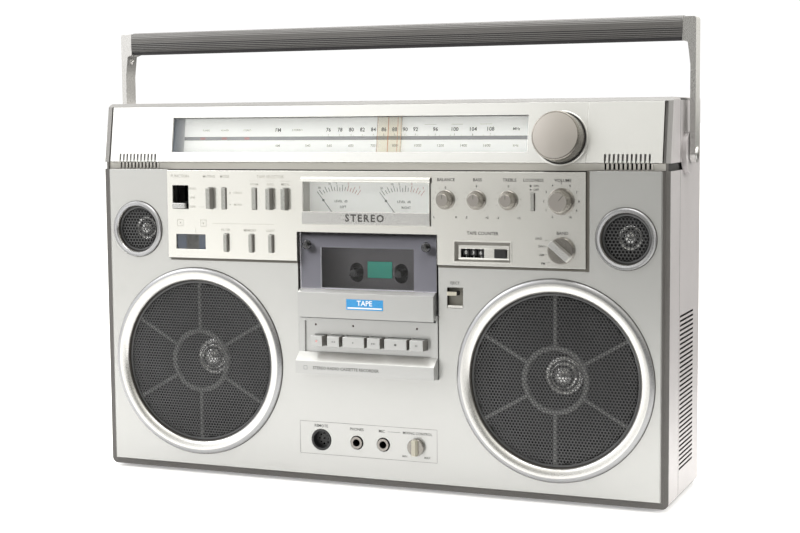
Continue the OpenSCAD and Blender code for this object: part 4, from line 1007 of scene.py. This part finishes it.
# ---------------------------------------------------------------- cassette deck

# The deck front's upward sloping faces and the door's upper edge take the bright tuner silver as a painted
# highlight.
rounded("deck_fascia", "deck_front", 0.45, KEY, TUNER_AND_HIGHLIGHT, slot="champagne_panel", paint=(
    (1, lambda c, n: 0.3 < n.z and n.y < -0.1),))
rounded("door_frame", "door_body", 0.4, KEY, TRIM_SHADE, PLATE, TUNER_AND_HIGHLIGHT, slot="champagne_panel", paint=(
    (2, lambda c, n: c.z > 172.4 or c.y > -1.4),
    (3, lambda c, n: n.z > 0.3 and c.y < -1.4 and c.z < 175)))
rounded("door_lens", "door_window", 0.35, SMOKE)
for mark, x in (("left", -56.7), ("right", 55.6)):
    screw = Shape()
    screw.turned([(4.3, -4.0), (4.3, -4.6), (4.0, -5.2), (3.2, -5.7), (1.6, -6.0), (0, -6.05)], x, 210.9, 48)
    # Its slot is painted near-black as painted shade.
    screw.mat = 1
    bar = screw.block((-3.3, -6.09, -0.45), (3.3, -5.4, 0.45))
    screw.move(bar, placed(x, 0, 210.9, 70))
    screw.make(mark + "_door_screw", SCREW, DARK_AND_SHADE, body="door", smooth=40)
badge = Shape()
badge.block((-17, -9.75, 155.4), (17.7, -9.58, 164.6))
badge.mat = 1
badge.block((-15.8, -9.78, 156.4), (16.5, -9.6, 157.6))
badge.text("TAPE", 6.4, 0.3, 161.1, -9.79)
badge.make("door_badge", BADGE, WHITE_INK, body="door", slot="champagne_panel")

blocks("green_plate", [((-10.7, 23.2, 180.2), (13, 23.95, 194.9))], REFLECTOR, slot="scale_print", bevel=0.3)
APRON = -13.04
deck_print = Shape()
deck_print.text("STEREO RADIO CASSETTE RECORDER", 3.7, -17, 103.2, APRON, 0.018)
square(deck_print, -55.6, 103.2, 1.7, 0.3, APRON)
deck_print.make("deck_print", INK, slot="champagne_panel", flat=True)
lamps = Shape()
for x in (-50, -13.9, 46.2):
    lamps.turned([(0, -2.1), (0.95, -2.1), (0.95, -1.6)], x, 140.2, 24)
lamps.make("deck_lamps", LAMP, slot="black_plastic")

rounded("eject_lever", "eject_tab", 0.5, BEIGE, BLACK, paint=((1, lambda c, n: c.y > -2.8),))
blocks("eject_lining", [
    ((74.35, -2.4, 177.1), (88.45, 2.4, 177.3)), ((74.35, 1.6, 159.65), (88.45, 2.4, 177.1))],
    SLOT, slot="black_plastic")
blocks("eject_ledge", [((74.5, -2.9, 159.8), (88.3, 2, 162))], CHAMPAGNE, bevel=0.3)


# ---------------------------------------------------------------- sockets

rounded("jack_sockets", "socket_set", 0.25, SOCKET, BLACK, paint=(
    (1, lambda c, n: c.y > 0 and c.y < 100 or c.x < -30 and c.y < 0),))
pins = Shape()
ring_of_pins = [radians(-135 + 45 * k) for k in range(7)]
for dx, dz in [(4.6 * sin(a), 4.6 * cos(a)) for a in ring_of_pins] + [(0, 0)]:
    pins.turned([(0.9, 3.2), (0.9, 1.8), (0.75, 1.6), (0.5, 1.6), (0.5, 3.2)], -45.8 + dx, 37.4 + dz, 16)
pins.make("socket_pins", CHASSIS, slot="socket_metal")
SHEET = -3.03
jack_print = Shape()
for x0, z0, x1, z1 in ((-66.5, 24.4, 64.2, 24.4), (-66.5, 53.4, 64.2, 53.4), (-66.5, 24.4, -66.5, 53.4),
                       (64.2, 24.4, 64.2, 53.4)):
    stroke(jack_print, x0, z0, x1, z1, SHEET, 0.3)
for word, size, x, z in (("REMOTE", 3.5, -45.8, 49.8), ("PHONES", 3.5, -11.4, 48.8), ("MIC", 3.5, 12.6, 48.8),
                         ("MIXING CONTROL", 3.2, 46, 48.8), ("MIN", 2.6, 34, 28.2), ("MAX", 2.6, 55, 28.2),
                         ("EJECT", 3.3, 81.4, 181)):
    jack_print.text(word, size, x, z, SHEET, 0.018)
stroke(jack_print, 18, 48.8, 30, 48.8, SHEET, 0.35)
jack_print.make("socket_print", INK, slot="silver_panel", flat=True)


# ---------------------------------------------------------------- handle

def grip_outline():
    """The grip's section: a rounded box with fine lengthwise flutes, as (y, z) points."""
    low, high = span("handle_grip")
    cy, cz = (low.y + high.y) / 2, (low.z + high.z) / 2
    hy, hz, r = (high.y - low.y) / 2, (high.z - low.z) / 2, 6.0
    track = []
    for sy, sz, a0 in ((1, 1, 0), (1, -1, 90), (-1, -1, 180), (-1, 1, 270)):
        for k in range(13):
            a = radians(a0 + 90 * k / 12)
            track.append(Vector((cy + sy * (hy - r) + r * sin(a), cz + sz * (hz - r) + r * cos(a))))
    dense = []
    for i, p in enumerate(track):
        q = track[(i + 1) % len(track)]
        steps = max(1, round((q - p).length / 0.42))
        dense += [p.lerp(q, k / steps) for k in range(steps)]
    middle = Vector((cy, cz))
    made = []
    for i, p in enumerate(dense):
        wave = 0.16 * (1 - cos(2 * pi * i / 4)) if p.y > cz - 7.5 else 0
        made.append(tuple(p + (middle - p).normalized() * wave))
    return made


low, high = span("handle_grip")
grip = Shape()
grip.prism(grip_outline(), "x", low.x, high.x)
bmesh.ops.recalc_face_normals(grip.bm, faces=grip.bm.faces)
# The grip's underside is painted darker as painted shade, and its top lighter as painted light.
grip.paint(lambda c, n: n.z < -0.35, 1)
grip.paint(lambda c, n: n.z > 0.55, 2)
grip.make("grip_bar", GRIP, GRIP_SHADE, GRIP_LIT, node="handle_grip", smooth=60)
rounded("handle_arms", "grip_arms", 0.8, ARM, steps=3)
PIVOT_Y = 55.5
for side, mark in SIDES:
    stud = Shape()
    disc = stud.turned([(0, -0.9), (3.8, -0.9), (5.0, -0.7), (5.6, 0), (5.6, 0.6), (0, 0.6)], 0, 0, 48)
    stud.move(disc, placed(side * 274.5, PIVOT_Y, 290, 90 * side, "Z"))
    dome = stud.turned([(0, -1.7), (1.2, -1.5), (2.2, -0.9), (2.6, 0), (2.6, 1.2), (0, 1.2)], 0, 0, 40)
    stud.move(dome, placed(side * 268.1, PIVOT_Y, 376.5, -90 * side, "Z"))
    stud.make(mark + "_handle_stud", TRIM, body="handle", smooth=40)


# ---------------------------------------------------------------- back, top and underside

lid = Shape().from_node("battery_cover")
for n in range(13):
    z = 19 + n * 4.6
    for x0, x1 in ((-120, -24), (24, 120)):
        lid.block((x0, 124.9, z), (x1, 125.35, z + 1.5))
lid.prism([(-6, 78), (6, 78), (0, 72)], "y", 124.9, 125.3)
for n in range(5):
    lid.block((-16, 124.9, 80 + n * 1.4), (16, 125.3, 80.7 + n * 1.4))
lid.make("battery_lid", CASE, node="battery_cover", bevel=0.35)
rounded("case_screws", "rear_screws", 0.15, SCREW)
rounded("rubber_feet", "feet", 0.6, RUBBER)
for node, word in (("antenna_swivel", "aerial_swivel"), ("antenna_tube", "aerial_tube"),
                   ("antenna_rod", "aerial_rod")):
    rounded(node, word, 0.3, CHROME)
collar = Shape()
tube_end = span("antenna_tube")[0].x
middle = centre("antenna_rod")
for x in (tube_end + 1.6, tube_end + 5.4):
    ring = collar.turned([(3.3, -0.8), (3.75, -0.6), (3.75, 0.6), (3.3, 0.8)], 0, 0, 40)
    collar.move(ring, placed(x, middle.y, middle.z, 90, "Z"))
collar.make("aerial_collar", CHROME, body="antenna_tube")
back_print = Shape()
for word, size, x, z in (("LINE IN", 3.4, -198, 234.5), ("LINE OUT", 3.4, -166, 234.5),
                         ("AC IN", 3.4, 190, 54), ("L", 3, -206, 218), ("R", 3, -190, 218),
                         ("L", 3, -174, 218), ("R", 3, -158, 218), ("BATTERIES", 4.2, 0, 93)):
    back_print.move(back_print.text(word, size, 0, 0, 0), placed(x, CASE_D + INK_LIFT, z, 180, "Z"))
back_print.make("back_print", INK, slot="case_plastic", flat=True)
